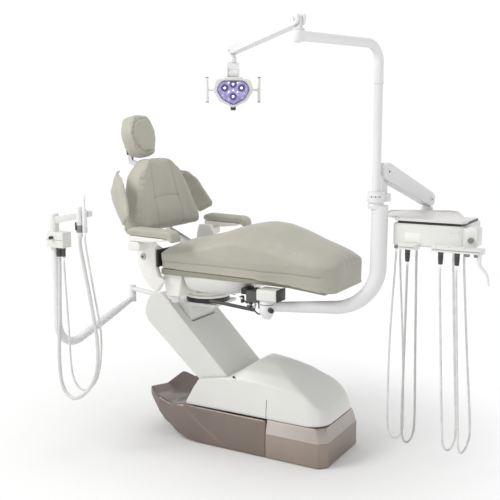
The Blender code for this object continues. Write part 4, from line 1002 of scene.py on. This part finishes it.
def armrest_seams():
    for sign, side, obj in ((-1, "right", arm_pads[0]), (1, "left", arm_pads[1])):
        for edge, y in (("inner", 0.285), ("outer", 0.335)):
            points = [(x, sign * y, 1.0) for x in (-0.295, -0.24, -0.18, -0.12, -0.075)]
            seam(obj, points, 0.004, 0.0022, f"armrest_seam_{side}_{edge}", f"armrest_{side}", 0.0007)


armrest_seams()


def seat_seams():
    """Boxing seam along both long edges."""
    for sign, side in SIDES:
        points = []
        for x in (-0.18, -0.1, 0.0, 0.1, 0.2, 0.3, 0.4, 0.5, 0.575):
            points.append((x, sign * (seat_half(x) + 0.01), 0.824 - 0.05 * max(0.0, x - 0.25)))
        seam(seat_pad, points, 0.005, 0.0028, f"seat_seam_{side}", "seat", 0.0009, 100)


seat_seams()

# -------------------------------------------------------------- base shells
BASE_HALF = 0.19
SEAM_X = 0.305
SKIRT_FRONT = 0.587
TAIL_CREASE = (
    (-0.15, -0.19, 0.168), (-0.055, -0.19, 0.106), (-0.002, -0.19, 0.069), (0.1, -0.19, 0.012),
)


def skirt_ring(inset, z):
    half = BASE_HALF - inset
    front = SKIRT_FRONT - inset
    corners = [(SEAM_X + 0.0012, -half), (front - 0.034, -half), (front, -half + 0.034)]
    corners += [(front, half - 0.034), (front - 0.034, half), (SEAM_X + 0.0012, half)]
    outline = rounded(corners, [0, 0.01, 0.01, 0.01, 0.01, 0], 3)
    return [(x, y, z) for x, y in outline]


def make_skirts():
    """Front skirt with a painted highlight, a lighter copy of its lacquer, on its slanting band, and
    the rear skirt with its creased tail.
    """
    levels = ((0.0022, 0.004), (0.006, 0.0), (0.106, 0.0), (0.11, 0.0016))
    front = loft(
        "skirt_front_panel",
        [skirt_ring(inset, z) for z, inset in levels],
        TAUPE,
        "base",
        ["skirt_front"],
        0,
    )
    shade(front, 35)
    # the slanting band is painted in the lighter lacquer copy, a painted highlight
    levels = ((0.1101, 0.0016), (0.1135, 0.0022), (0.16, 0.0125), (0.168, 0.0165))
    band = loft(
        "skirt_front_band", [skirt_ring(inset, z) for z, inset in levels], TAUPE_PAINTED_HIGHLIGHT, "base", (), 0
    )
    shade(band, 35)
    rear = rounded_copy("skirt_rear", TAUPE, 0.0045, 4)
    co = coords(rear)
    crease = np.array(TAIL_CREASE)[:, [0, 2]]
    line_z = np.interp(co[:, 0], crease[:, 0], crease[:, 1])
    above = np.clip((co[:, 2] - line_z) / 0.006, 0, 1)
    ahead = np.exp(-np.clip(co[:, 0] + 0.12, 0, None) / 0.14)
    wall = np.clip((np.abs(co[:, 1]) - 0.165) / 0.02, 0, 1) * (co[:, 0] > -0.16)
    co[:, 1] -= np.sign(co[:, 1]) * 0.0075 * above * ahead * wall
    tail = np.clip((-0.13 - co[:, 0]) / 0.15, 0, 1)
    inside = np.clip(1.0 - np.abs(co[:, 1]) / 0.17, 0, 1)
    co[:, 2] -= 0.028 * tail * inside * (co[:, 2] > 0.1) * np.clip((co[:, 2] - 0.1) / 0.05, 0, 1)
    set_coords(rear, co)
    smoothed(rear, 4)


def make_base_cover():
    cover = rounded_copy("base_cover", WHITE, 0.007, 22)
    co = coords(cover)
    ahead = np.clip((co[:, 0] - 0.16) / 0.42, 0, 1)
    height = np.clip((co[:, 2] - 0.175) / 0.2, 0, 1)
    co[:, 2] -= 0.05 * ahead**1.5 * height
    co[:, 0] -= 0.06 * ahead * height**1.4
    co[:, 1] *= 1.0 - 0.16 * ahead * height
    set_coords(cover, co)
    subdivide(cover)
    seam_line = [(0.306, -0.19, 0.168), (0.306, -0.19, 0.225), (0.306, -0.185, 0.262)]
    for sign in (-1, 1):
        path = [(x, sign * -y, z) for x, y, z in seam_line]
        path = on_surface(cover, curve_through(path, 24), 0.0004)
        # dark line along each cover seam: a painted shadow of the seam gap
        line(f"cover_seam_shadow_{'right' if sign < 0 else 'left'}", path, 0.0011, PAINTED_SEAM_SHADOW, "base", sides=2)
    peg("cover_screw_0", (0.135, -0.168, 0.33), (0.1372, -0.171, 0.3335), 0.005, BLACK, "base")


make_skirts()
make_base_cover()

# ----------------------------------------------------------------- lift arm
CHEEKS = (0.0995, 0.153)  # how far out of the centreline the cheeks of the arm lie
CARRIAGE_HALF = 0.097
TURN_X = -0.1
ARM_LOW = (0.115, 0.217)
ARM_LENGTH = 0.5
ARM_ANGLE = math.radians(135.5)
ARM_HIGH = (
    ARM_LOW[0] + ARM_LENGTH * math.cos(ARM_ANGLE),
    ARM_LOW[1] + ARM_LENGTH * math.sin(ARM_ANGLE),
)


def arm_point(along, across):
    """Point (x, z) at a distance down the lift arm from its upper pivot and out of its axis."""
    u = (-math.cos(ARM_ANGLE), -math.sin(ARM_ANGLE))
    n = (math.sin(ARM_ANGLE), -math.cos(ARM_ANGLE))
    return (
        ARM_HIGH[0] + along * u[0] + across * n[0],
        ARM_HIGH[1] + along * u[1] + across * n[1],
    )


def merged(name, parts, mat, body, nodes, voxel, passes):
    """One skin over several overlapping solids, its edges rounded by the smoothing."""
    bm = bmesh.new()
    for part in parts:
        bm.from_mesh(part.data)
        bpy.data.objects.remove(part)
    mesh = mesh_of(bm, name)
    obj = piece(name, mesh, mat, body, nodes)
    add_remesh(obj, voxel)
    bake(obj)
    return smoothed(obj, passes)


def bare_slab(outline, low, high):
    """Solid between two planes across the chair, outline in (x, z)."""
    bm = bmesh.new()
    ring = [bm.verts.new((x, low, z)) for x, z in outline]
    face = bm.faces.new(ring)
    grown = bmesh.ops.extrude_face_region(bm, geom=[face])["geom"]
    moved = [item for item in grown if isinstance(item, bmesh.types.BMVert)]
    bmesh.ops.translate(bm, verts=moved, vec=(0, high - low, 0))
    bmesh.ops.recalc_face_normals(bm, faces=bm.faces)
    mesh = mesh_of(bm, "slab")
    return bpy.data.objects.new("slab", mesh)


def make_lift_arm():
    """Smooth skin of the lift arm, its cheeks closing round the knuckle, and the carriage."""
    corners = [(0.455, 0.0615), (-0.085, 0.0615), (-0.116, -0.01), (-0.07, -0.096), (0.455, -0.06)]
    cheek = rounded([arm_point(a, b) for a, b in corners], [0.002, 0.035, 0.06, 0.07, 0.002], 8)
    inner, outer = CHEEKS
    parts = [bare_slab(cheek, -outer, -inner), bare_slab(cheek, inner, outer)]
    corners = ((0.105, 0.052), (0.105, 0.0615), (0.455, 0.0615), (0.455, 0.052))
    top = [arm_point(a, b) for a, b in corners]
    parts.append(bare_slab(top, -0.12, 0.12))
    merged("lift_arm_skin", parts, WHITE, "lift_arm", ["lift_arm_cover"], 0.0034, 7)
    drum = arc(ARM_HIGH, 0.056, 0, 360, 40)[:-1]
    sector = [ARM_HIGH] + arc(ARM_HIGH, 0.112, -20, 27, 12)
    neck = [(-0.285, 0.602), (-0.23, 0.57), (-0.175, 0.603), (-0.12, 0.6085), (-0.004, 0.61)]
    neck += [(-0.004, 0.6245), (-0.275, 0.6245)]
    parts = [bare_slab(outline, -CARRIAGE_HALF, CARRIAGE_HALF) for outline in (drum, sector, neck)]
    merged("carriage_skin", parts, WHITE, "carriage", ["carriage_frame"], 0.004, 4)
    bowl = (
        (0.604, 0.002), (0.6045, 0.045), (0.607, 0.066), (0.611, 0.085), (0.616, 0.0975),
        (0.6248, 0.101),
    )
    lathe("carriage_bowl", (TURN_X, 0), bowl, WHITE, "carriage", 64)
    for sign in (-1, 1):
        x, z = arm_point(0.43, 0.0605)
        x2, z2 = arm_point(0.43, 0.064)
        name = "right" if sign < 0 else "left"
        peg(
            f"arm_screw_{name}", (x, sign * 0.118, z), (x2, sign * 0.118, z2), 0.0055, BLACK,
            "lift_arm",
        )


make_lift_arm()

# ---------------------------------------------------------------- under seat
PAN_STATIONS = (
    (-0.0915, 0.165, 0.7, 0.236, 0.787),
    (-0.075, 0.18, 0.69, 0.242, 0.791),
    (-0.01, 0.188, 0.686, 0.247, 0.8),
    (0.06, 0.19, 0.685, 0.249, 0.806),
    (0.13, 0.184, 0.69, 0.248, 0.806),
    (0.185, 0.165, 0.708, 0.244, 0.804),
    (0.225, 0.14, 0.742, 0.236, 0.8),
    (0.262, 0.11, 0.778, 0.215, 0.796),
)  # x, half width and height of the bottom, half width and height of the rim


def make_seat_pan():
    """Boat-shaped shell under the seat, its rim rising along the middle of the cushion."""
    rings = []
    for x, half_low, z_low, half_high, z_high in PAN_STATIONS:
        ring = []
        for sign in (-1, 1):
            side = []
            for t in (0.0, 0.25, 0.5, 0.75, 1.0):
                bulge = 0.016 * math.sin(math.pi * t)
                y = half_low + (half_high - half_low) * t + bulge
                side.append((x, sign * y, z_low + (z_high - z_low) * t))
            ring += side[::-1] if sign < 0 else side
        rings.append(ring)
    loft("seat_pan_shell", rings, WHITE, "seat", ["seat_pan"], 2)
    for name, at in (("front", 0.1), ("rear", -0.05)):
        peg(f"pan_screw_{name}", (at, -0.1, 0.6875), (at, -0.1, 0.6835), 0.006, STEEL, "seat")


def make_under_seat():
    rounded_copy("seat_pedestal", CREAM, 0.0045, 6)
    for side in ("right", "left"):
        rounded_copy(f"side_arm_{side}", CREAM, 0.0036, 4)
        sign = -1 if side == "right" else 1
        low = (-0.275, sign * 0.2588, 0.848)
        high = (-0.275, sign * 0.2635, 0.848)
        peg(f"hinge_cap_{side}", low, high, 0.0135, STEEL, "seat", 0.0015)
        peg(
            f"hinge_hex_{side}", (-0.275, sign * 0.263, 0.848), (-0.275, sign * 0.2645, 0.848),
            0.006, DARK, "seat",
        )
    # seat frame in the darker sage copy: painted shade under the seat
    crisp("seat_frame", SAGE_PAINTED_SHADE, 0.001)
    crisp("hub_block", WHITE, 0.005)
    crisp("valve_block", DARK, 0.002)
    brick("hub_end_plate", (0.3975, -0.272, 0.714), (0.404, -0.2, 0.764), BLACK, "seat", 0.002)
    brick("seat_rear_edge", (-0.2045, -0.258, 0.806), (-0.1965, 0.258, 0.884), BLACK, "seat", 0.003)
    brick("valve_manifold", (0.206, -0.226, 0.722), (0.2355, -0.16, 0.748), BLACK, "seat", 0.003)
    for k, (x, y, z, r, drop, mat) in enumerate(
        (
            (0.214, -0.226, 0.712, 0.0075, 0.026, BLACK),
            (0.246, -0.228, 0.69, 0.0085, 0.022, DARK),
            (0.272, -0.228, 0.69, 0.0075, 0.02, STEEL),
            (0.288, -0.205, 0.69, 0.0085, 0.026, BLACK),
            (0.228, -0.19, 0.718, 0.007, 0.026, DARK),
        )
    ):
        peg(f"valve_fitting_{k}", (x, y, z + 0.004), (x, y, z - drop), r, mat, "seat", 0.0015)
        peg(f"valve_nut_{k}", (x, y, z - 0.004), (x, y, z - 0.01), r + 0.003, STEEL, "seat", 0.001, 6)
    route = [
        (0.288, -0.205, 0.664), (0.284, -0.2, 0.64), (0.25, -0.17, 0.636),
        (0.19, -0.14, 0.662),
    ]
    route += [(0.14, -0.12, 0.6835)]
    line("valve_loop", curve_through(route, 30), 0.0032, BLACK, "seat")
    crisp("turntable_lower", BLACK, 0.002)
    collar = ((0.6462, 0.1005), (0.648, 0.103), (0.656, 0.103), (0.66, 0.096))
    lathe("turntable_collar", (TURN_X, 0), collar, CREAM, "seat", 64)


make_seat_pan()
make_under_seat()

# -------------------------------------------------------------- back and arms
for node, mat, voxel, passes in (
    ("back_shell", WHITE, 0.0045, 4),
    ("armrest_support_right", CREAM, 0.0032, 4),
    ("armrest_support_left", CREAM, 0.0032, 4),
):
    rounded_copy(node, mat, voxel, passes)
for sign, side in SIDES:
    points = [on_back(sign * y, up, -0.07) for y, up in ((0.25, 0.125), (0.268, 0.15))]
    line(f"wing_bracket_{side}", curve_through(points, 6), 0.006, STEEL, "backrest")

for node, mat, width in (
    ("base_plate", IRON, 0.003),
    ("lift_stand", IRON, 0.002),
    ("lift_motor", IRON, 0.002),
    ("lift_arm_link", STEEL, 0.002),
    ("level_link", STEEL, 0.001),
    ("back_frame", STEEL, 0.001),
    ("headrest_bar", CHROME, 0.0002),
    ("headrest_plate", BLACK, 0.0002),
    ("headrest_lever", BLACK, 0.002),
    ("brake_knob", BLACK, 0.002),
    ("light_joint_upper", PAINT, 0.002),
    ("light_arm", PAINT, 0.007),
    ("light_knuckle", PAINT, 0.002),
    ("light_bracket", PAINT, 0.002),
    ("lamp_lens", LENS, 0.001),
    ("flex_sleeve", PAINT, 0.002),
    ("flex_arm", PAINT, 0.009),
    ("flex_knuckle", PAINT, 0.002),
    ("head_body", WHITE, 0.006),
    ("instrument_tray", GREY, 0.001),
    ("air_water_syringe", PAINT, 0.001),
    ("flow_knob", MID, 0.001),
    ("aide_arm_inner", PAINT, 0.001),
    ("aide_holder", WHITE, 0.005),
    ("hve_handle", PAINT, 0.002),
    ("aide_syringe", PAINT, 0.001),
    ("aide_lever", BLACK, 0.001),
):
    crisp(node, mat, width)

# --------------------------------------------------------- radius arm, light
HUB = (0.336, -0.235)
POST = (0.735, -0.015)
POST_R = 0.035
POST_TOP = 1.105
POLE = (0.721, -0.023)
POLE_R = 0.0175
RING_Z = 1.588
TOP_TUBE_Z = 1.742
LIGHT_SWIVEL = (0.59, -0.478)
LIGHT_END = (0.068, -0.05)
LIGHT_ARM_Z = (1.8, 1.742)
LAMP_FACE = math.radians(-59.4)


def make_radius_arm():
    start = Vector((*HUB, 0.684))
    route = bend_path([start, (*POST, 0.68), (*POST, POST_TOP)], 0.17, 24)
    run = math.hypot(POST[0] - HUB[0], POST[1] - HUB[1])
    scale = []
    for p in route:
        along = math.hypot(p[0] - HUB[0], p[1] - HUB[1]) / run
        scale.append(0.56 + 0.44 * min(1.0, along * 0.8 + max(0.0, p[2] - 0.7)))
    dense = []
    widths = []
    for k in range(12):
        t = k / 12
        dense.append(route[0].lerp(route[1], t))
        widths.append(scale[0] + (scale[1] - scale[0]) * t)
    line(
        "radius_arm_tube",
        dense + route[1:],
        POST_R,
        PAINT,
        "radius_arm",
        ["radius_arm_post"],
        8,
        widths + scale[1:],
    )
    x, y = HUB
    stations = [(0.633, 0.016), (0.635, 0.019), (0.6425, 0.019), (0.6445, 0.0235), (0.6475, 0.026)]
    stations += [(0.653, 0.026), (0.6545, 0.0285), (0.6575, 0.031), (0.7095, 0.031), (0.7121, 0.029)]
    lathe("radius_arm_hub", (x, y), stations, PAINT, "radius_arm", 48)
    turned(
        "hub_ring",
        [((x, y, 0.6935), 0.0312), ((x, y, 0.6955), 0.0318), ((x, y, 0.6975), 0.0312)], MID,
        "radius_arm", 48,
    )
    x, y = POLE
    stations = [(POST_TOP - 0.03, POLE_R), (POST_TOP + 0.3, POLE_R), (RING_Z - 0.0006, POLE_R)]
    lathe("radius_arm_post_upper", (x, y), stations, PAINT, "radius_arm", 40)
    stations = [(1.092, 0.0305), (1.1015, 0.0335), (1.107, 0.0335), (1.1155, 0.03), (1.1177, 0.0285)]
    lathe("post_collar", (x, y), stations, PAINT, "radius_arm", 48)


def make_light():
    x, y = POLE
    route = bend_path(
        [(x, y, RING_Z + 0.006), (x, y, TOP_TUBE_Z), (*LIGHT_SWIVEL, TOP_TUBE_Z)], 0.075, 20,
    )
    line("light_pole_tube", route, 0.0185, PAINT, "upper_pole", ["light_pole"], 7)
    stations = [
        (RING_Z, 0.0185), (RING_Z + 0.0015, 0.0205), (RING_Z + 0.0105, 0.0205),
        (RING_Z + 0.012, 0.0185),
    ]
    lathe("light_pole_ring", (x, y), stations, PAINT, "upper_pole", 40)
    x, y = LIGHT_SWIVEL
    low = TOP_TUBE_Z - 0.024
    high = TOP_TUBE_Z + 0.0195
    stations = [
        (low, 0.01), (low + 0.003, 0.017), (low + 0.008, 0.0205), (high - 0.001, 0.0205),
        (high, 0.0195),
    ]
    lathe("light_swivel_socket", (x, y), stations, PAINT, "upper_pole", 40)
    stations = [(high + 0.0004, 0.019), (high + 0.0012, 0.02), (1.764, 0.0195), (1.767, 0.0165)]
    lathe("light_swivel_neck", (x, y), stations, PAINT, "lamp_swivel", 40)
    side = Vector((-math.sin(LAMP_FACE), math.cos(LAMP_FACE), 0))
    out = Vector((math.cos(LAMP_FACE), math.sin(LAMP_FACE), 0))
    heading = math.atan2(LIGHT_END[1] - y, LIGHT_END[0] - x)
    across = Vector((-math.sin(heading), math.cos(heading), 0))
    for name, spot, z, reach, r in (
        ("upper", LIGHT_SWIVEL, LIGHT_ARM_Z[0], 0.019, 0.0085),
        ("lower", LIGHT_END, LIGHT_ARM_Z[1], 0.019, 0.007),
    ):
        for sign, tag in ((-1, "a"), (1, "b")):
            low = Vector((*spot, z)) + across * sign * reach
            peg(
                f"arm_pin_{name}_{tag}", low, low + across * sign * 0.0016, r, CHROME,
                "lamp_arm", 0.0006,
            )
    x, y = LIGHT_END
    hinge = Vector((x, y, 1.646))
    turned(
        "lamp_barrel",
        [(hinge - side * 0.0211, 0.0165), (hinge - side * 0.0195, 0.018)]
        + [(hinge + side * 0.0195, 0.018), (hinge + side * 0.0211, 0.0165)],
        PAINT,
        "lamp",
        40,
    )
    rounded_copy("lamp_housing", WHITE, 0.0022, 5)
    top = Vector((x, y, 1.6245))
    brick_turn = Matrix.Rotation(LAMP_FACE, 3, "Z")
    brick(
        "lamp_saddle", top - Vector((0.02, 0.04, 0.0075)),
        top + Vector((0.02, 0.04, 0.0055)), WHITE, "lamp", 0.005, brick_turn,
    )
    rim = lamp_outline(8)
    front = [Vector((x, y, 0)) + side * u + out * 0.03 + Vector((0, 0, v)) for u, v in rim]
    line("lens_rim", front, 0.0024, LENS_DARK, "lamp", sides=4, cyclic=True)
    for name, u, v in (
        ("left", -0.036, 1.582), ("top", 0.0, 1.598), ("right", 0.036, 1.582),
        ("low", 0.0, 1.546),
    ):
        middle = Vector((x, y, v)) + side * u
        turned(
            f"reflector_{name}",
            [
                (middle + out * 0.031, 0.015), (middle + out * 0.0328, 0.0158),
                (middle + out * 0.0336, 0.014),
            ]
            + [(middle + out * 0.0322, 0.009), (middle + out * 0.0318, 0.005)],
            LENS_DARK,
            "lamp",
            28,
        )
        turned(
            f"led_{name}",
            [
                (middle + out * 0.0316, 0.0052), (middle + out * 0.0332, 0.0048),
                (middle + out * 0.0342, 0.0022),
            ],
            LED_GLOW_AND_PAINTED_GLINT,
            "lamp",
            20,
        )
    # small glowing dots on the lens front: painted glints, highlights that glow though they are no
    # lamps
    for k, (u, v) in enumerate((
        (-0.019, 1.566), (0.019, 1.566), (-0.019, 1.603), (0.019, 1.603), (0.0, 1.572),
    )):
        middle = Vector((x, y, v)) + side * u
        peg(
            f"lens_glint_{k}", middle + out * 0.0312, middle + out * 0.0326, 0.003, LED_GLOW_AND_PAINTED_GLINT, "lamp",
            0.0008, 16,
        )
    low = Vector((x, y, 1.4862)) + out * 0.008
    turned(
        "lamp_sensor",
        [(low, 0.007), (low + Vector((0, 0, 0.003)), 0.0112), (low + Vector((0, 0, 0.018)), 0.012)]
        + [(low + Vector((0, 0, 0.0215)), 0.0105)],
        BLACK,
        "lamp",
        28,
    )
    for sign, tag in ((-1, "left"), (1, "right")):
        middle = Vector((x, y, 1.575)) + side * sign * 0.112
        for end, z in (("top", 0.0505), ("bottom", -0.0535)):
            low = middle + Vector((0, 0, z))
            peg(
                f"handle_cap_{tag}_{end}", low, low + Vector((0, 0, 0.004)), 0.0072, MID, "lamp",
                0.001, 20,
            )


def lamp_outline(steps):
    face = [(-0.05, 1.611), (0.05, 1.611), (0.07, 1.574), (0.046, 1.536), (0.0, 1.511)]
    face += [(-0.046, 1.536), (-0.07, 1.574)]
    return rounded(face, [0.03, 0.03, 0.025, 0.03, 0.02, 0.03, 0.025], steps)


make_radius_arm()
make_light()

# ---------------------------------------------------------- delivery details
def make_delivery_details():
    gasket = rounded([(0.8035, 0.0085), (1.0675, 0.0085), (1.0675, 0.2565), (0.8035, 0.2565)], 0.006)
    plate("head_gasket", gasket, 1.0356, 1.0447, PLAN, BLACK, "control_head", 0.0008)
    brick(
        "end_housing_shell", (1.0685, 0.005, 0.956), (1.129, 0.095, 1.0345), WHITE,
        "control_head", 0.02,
    )
    for key, (x, y) in RELIEFS.items():
        stations = [
            (0.885, 0.0058), (0.887, 0.0086), (0.905, 0.0096), (0.93, 0.0108),
            (0.9368, 0.0112),
        ]
        lathe(f"strain_relief_{key}", (x, y), stations, DARK, "control_head", 28)
        for k in range(4):
            z = 0.891 + 0.008 * k
            r = 0.0092 + 0.0005 * k
            turned(
                f"relief_rib_{key}_{k}",
                [((x, y, z), r), ((x, y, z + 0.0012), r + 0.001), ((x, y, z + 0.0024), r)],
                BLACK,
                "control_head",
                24,
            )
    for key, (x, y) in GLANDS.items():
        stations = [(0.9301, 0.0078), (0.9315, 0.0092), (0.942, 0.0092), (0.945, 0.008)]
        lathe(f"gland_{key}", (x, y), stations, MID, "control_head", 24)
    for name, x, r, mat in (("a", 1.098, 0.0115, MID), ("b", 1.134, 0.009, MID)):
        stations = [(0.9366, r * 0.9), (0.9352, r), (0.9262, r), (0.924, r * 0.8)]
        turned(f"bar_knob_{name}", [((x, -0.024, z), k) for z, k in stations], mat, "control_head", 28)
    for name, low, high in (("short", 0.822, 0.9), ("long", 0.958, 1.16)):
        brick(
            f"bar_strip_{name}", (low + 0.006, -0.0436, 0.945), (high - 0.006, -0.0418, 0.9475),
            MID, "control_head", 0.0006,
        )
    for k, x in enumerate((0.98, 1.028, 1.088)):
        peg(
            f"bar_clip_{k}", (x, -0.0405, 0.9585), (x, -0.0405, 0.964), 0.0042, PAINT,
            "control_head", 0.001, 18,
        )
    brick("head_recess", (0.838, -0.0012, 0.962), (0.905, 0.0006, 1.000), CREAM, "control_head", 0.001)
    brick("head_plate", (1.02, -0.0012, 1.008), (1.058, 0.0004, 1.02), GREY, "control_head", 0.0008)
    x, y = POLE
    for k, a in enumerate((-100, -86, -72, -58, -44)):
        a = math.radians(a)
        way = Vector((math.cos(a), math.sin(a), 0))
        low = Vector((x, y, 1.142)) + way * 0.0357
        peg(
            f"sleeve_mark_{k}", low, low + way * 0.0009, 0.0018 if k % 2 else 0.0028, DARK,
            "delivery_swivel", 0.0003, 12,
        )
    heading = math.atan2(0.4 - 0.0361, 0.803 - 0.7314)
    across = Vector((math.sin(heading), -math.cos(heading), 0))
    for name, spot, z, r in (
        ("low", (0.7314, 0.0361), 1.24, 0.012), ("high", (0.803, 0.4), 1.1, 0.01),
    ):
        for sign, tag in ((1, "a"), (-1, "b")):
            low = Vector((*spot, z)) + across * sign * 0.024
            peg(
                f"flex_pin_{name}_{tag}", low, low + across * sign * 0.002, r, CHROME,
                "delivery_arm", 0.0008,
            )
            low = low + across * sign * 0.0016
            peg(
                f"flex_hex_{name}_{tag}", low, low + across * sign * 0.001, r * 0.45, BLACK,
                "delivery_arm", 0.0003, 6,
            )


make_delivery_details()

# --------------------------------------------------------- assistant details
def make_aide_details():
    x, y = -0.53, -0.54
    elbow = (-0.497, -0.05)
    route = bend_path([(*elbow, 0.598), (x, y, 0.437), (x, y, 0.8997)], 0.1, 20)
    scale = [0.66 + 0.34 * min(1.0, i / 5) for i in range(len(route))]
    dense = []
    widths = []
    for k in range(10):
        t = k / 10
        dense.append(route[0].lerp(route[1], t))
        widths.append(scale[0] + (1.0 - scale[0]) * min(1.0, t * 2.2))
    line(
        "aide_post_tube", dense + route[1:], 0.0185, PAINT, "aide_outer", ["aide_post"], 7,
        widths + [1.0] * (len(route) - 1),
    )
    stations = [(0.58, 0.0135), (0.582, 0.016), (0.6235, 0.016), (0.625, 0.0145)]
    lathe("aide_elbow", elbow, stations, PAINT, "aide_outer", 32)
    for name, dx, radius, low in (("hose", 0.032, 0.0116, 0.872), ("tubing", 0.058, 0.0078, 0.874)):
        spot = (x + dx, y - 0.012)
        stations = [
            (low, radius * 0.9), (low + 0.002, radius), (0.902, radius), (0.9045, radius * 1.15),
            (0.9118, radius * 1.15),
        ]
        lathe(f"aide_connector_{name}", spot, stations, DARK, "aide_head", 28)
    spot = (x + 0.16, y - 0.0238)
    stations = [(0.986, 0.0128), (0.988, 0.0142), (1.014, 0.0142), (1.016, 0.0128)]
    lathe("hve_valve", spot, stations, MID, "aide_head", 32)
    brick(
        "hve_lever", (x + 0.15, y - 0.042, 0.996), (x + 0.156, y - 0.0375, 1.03), BLACK,
        "aide_head", 0.0015,
    )
    stations = [(0.966, 0.01), (0.969, 0.0118), (0.974, 0.0127)]
    lathe("hve_cuff", spot, stations, GREY, "aide_head", 28)
    spot = (x + 0.186, y - 0.0213)
    stations = [(0.986, 0.0082), (0.988, 0.0104), (1.01, 0.0104), (1.012, 0.01)]
    lathe("aide_syringe_collar", spot, stations, GREY, "aide_head", 24)
    brick(
        "holder_seam", (x - 0.0216, y - 0.0308, 0.944), (x + 0.0706, y - 0.0296, 0.9456), MID,
        "aide_head", 0.0004,
    )
    turned(
        "aide_column_cap",
        [((x, y, 1.0515), 0.0195), ((x, y, 1.054), 0.0185), ((x, y, 1.056), 0.014)],
        PAINT,
        "aide_head",
        36,
    )


make_aide_details()
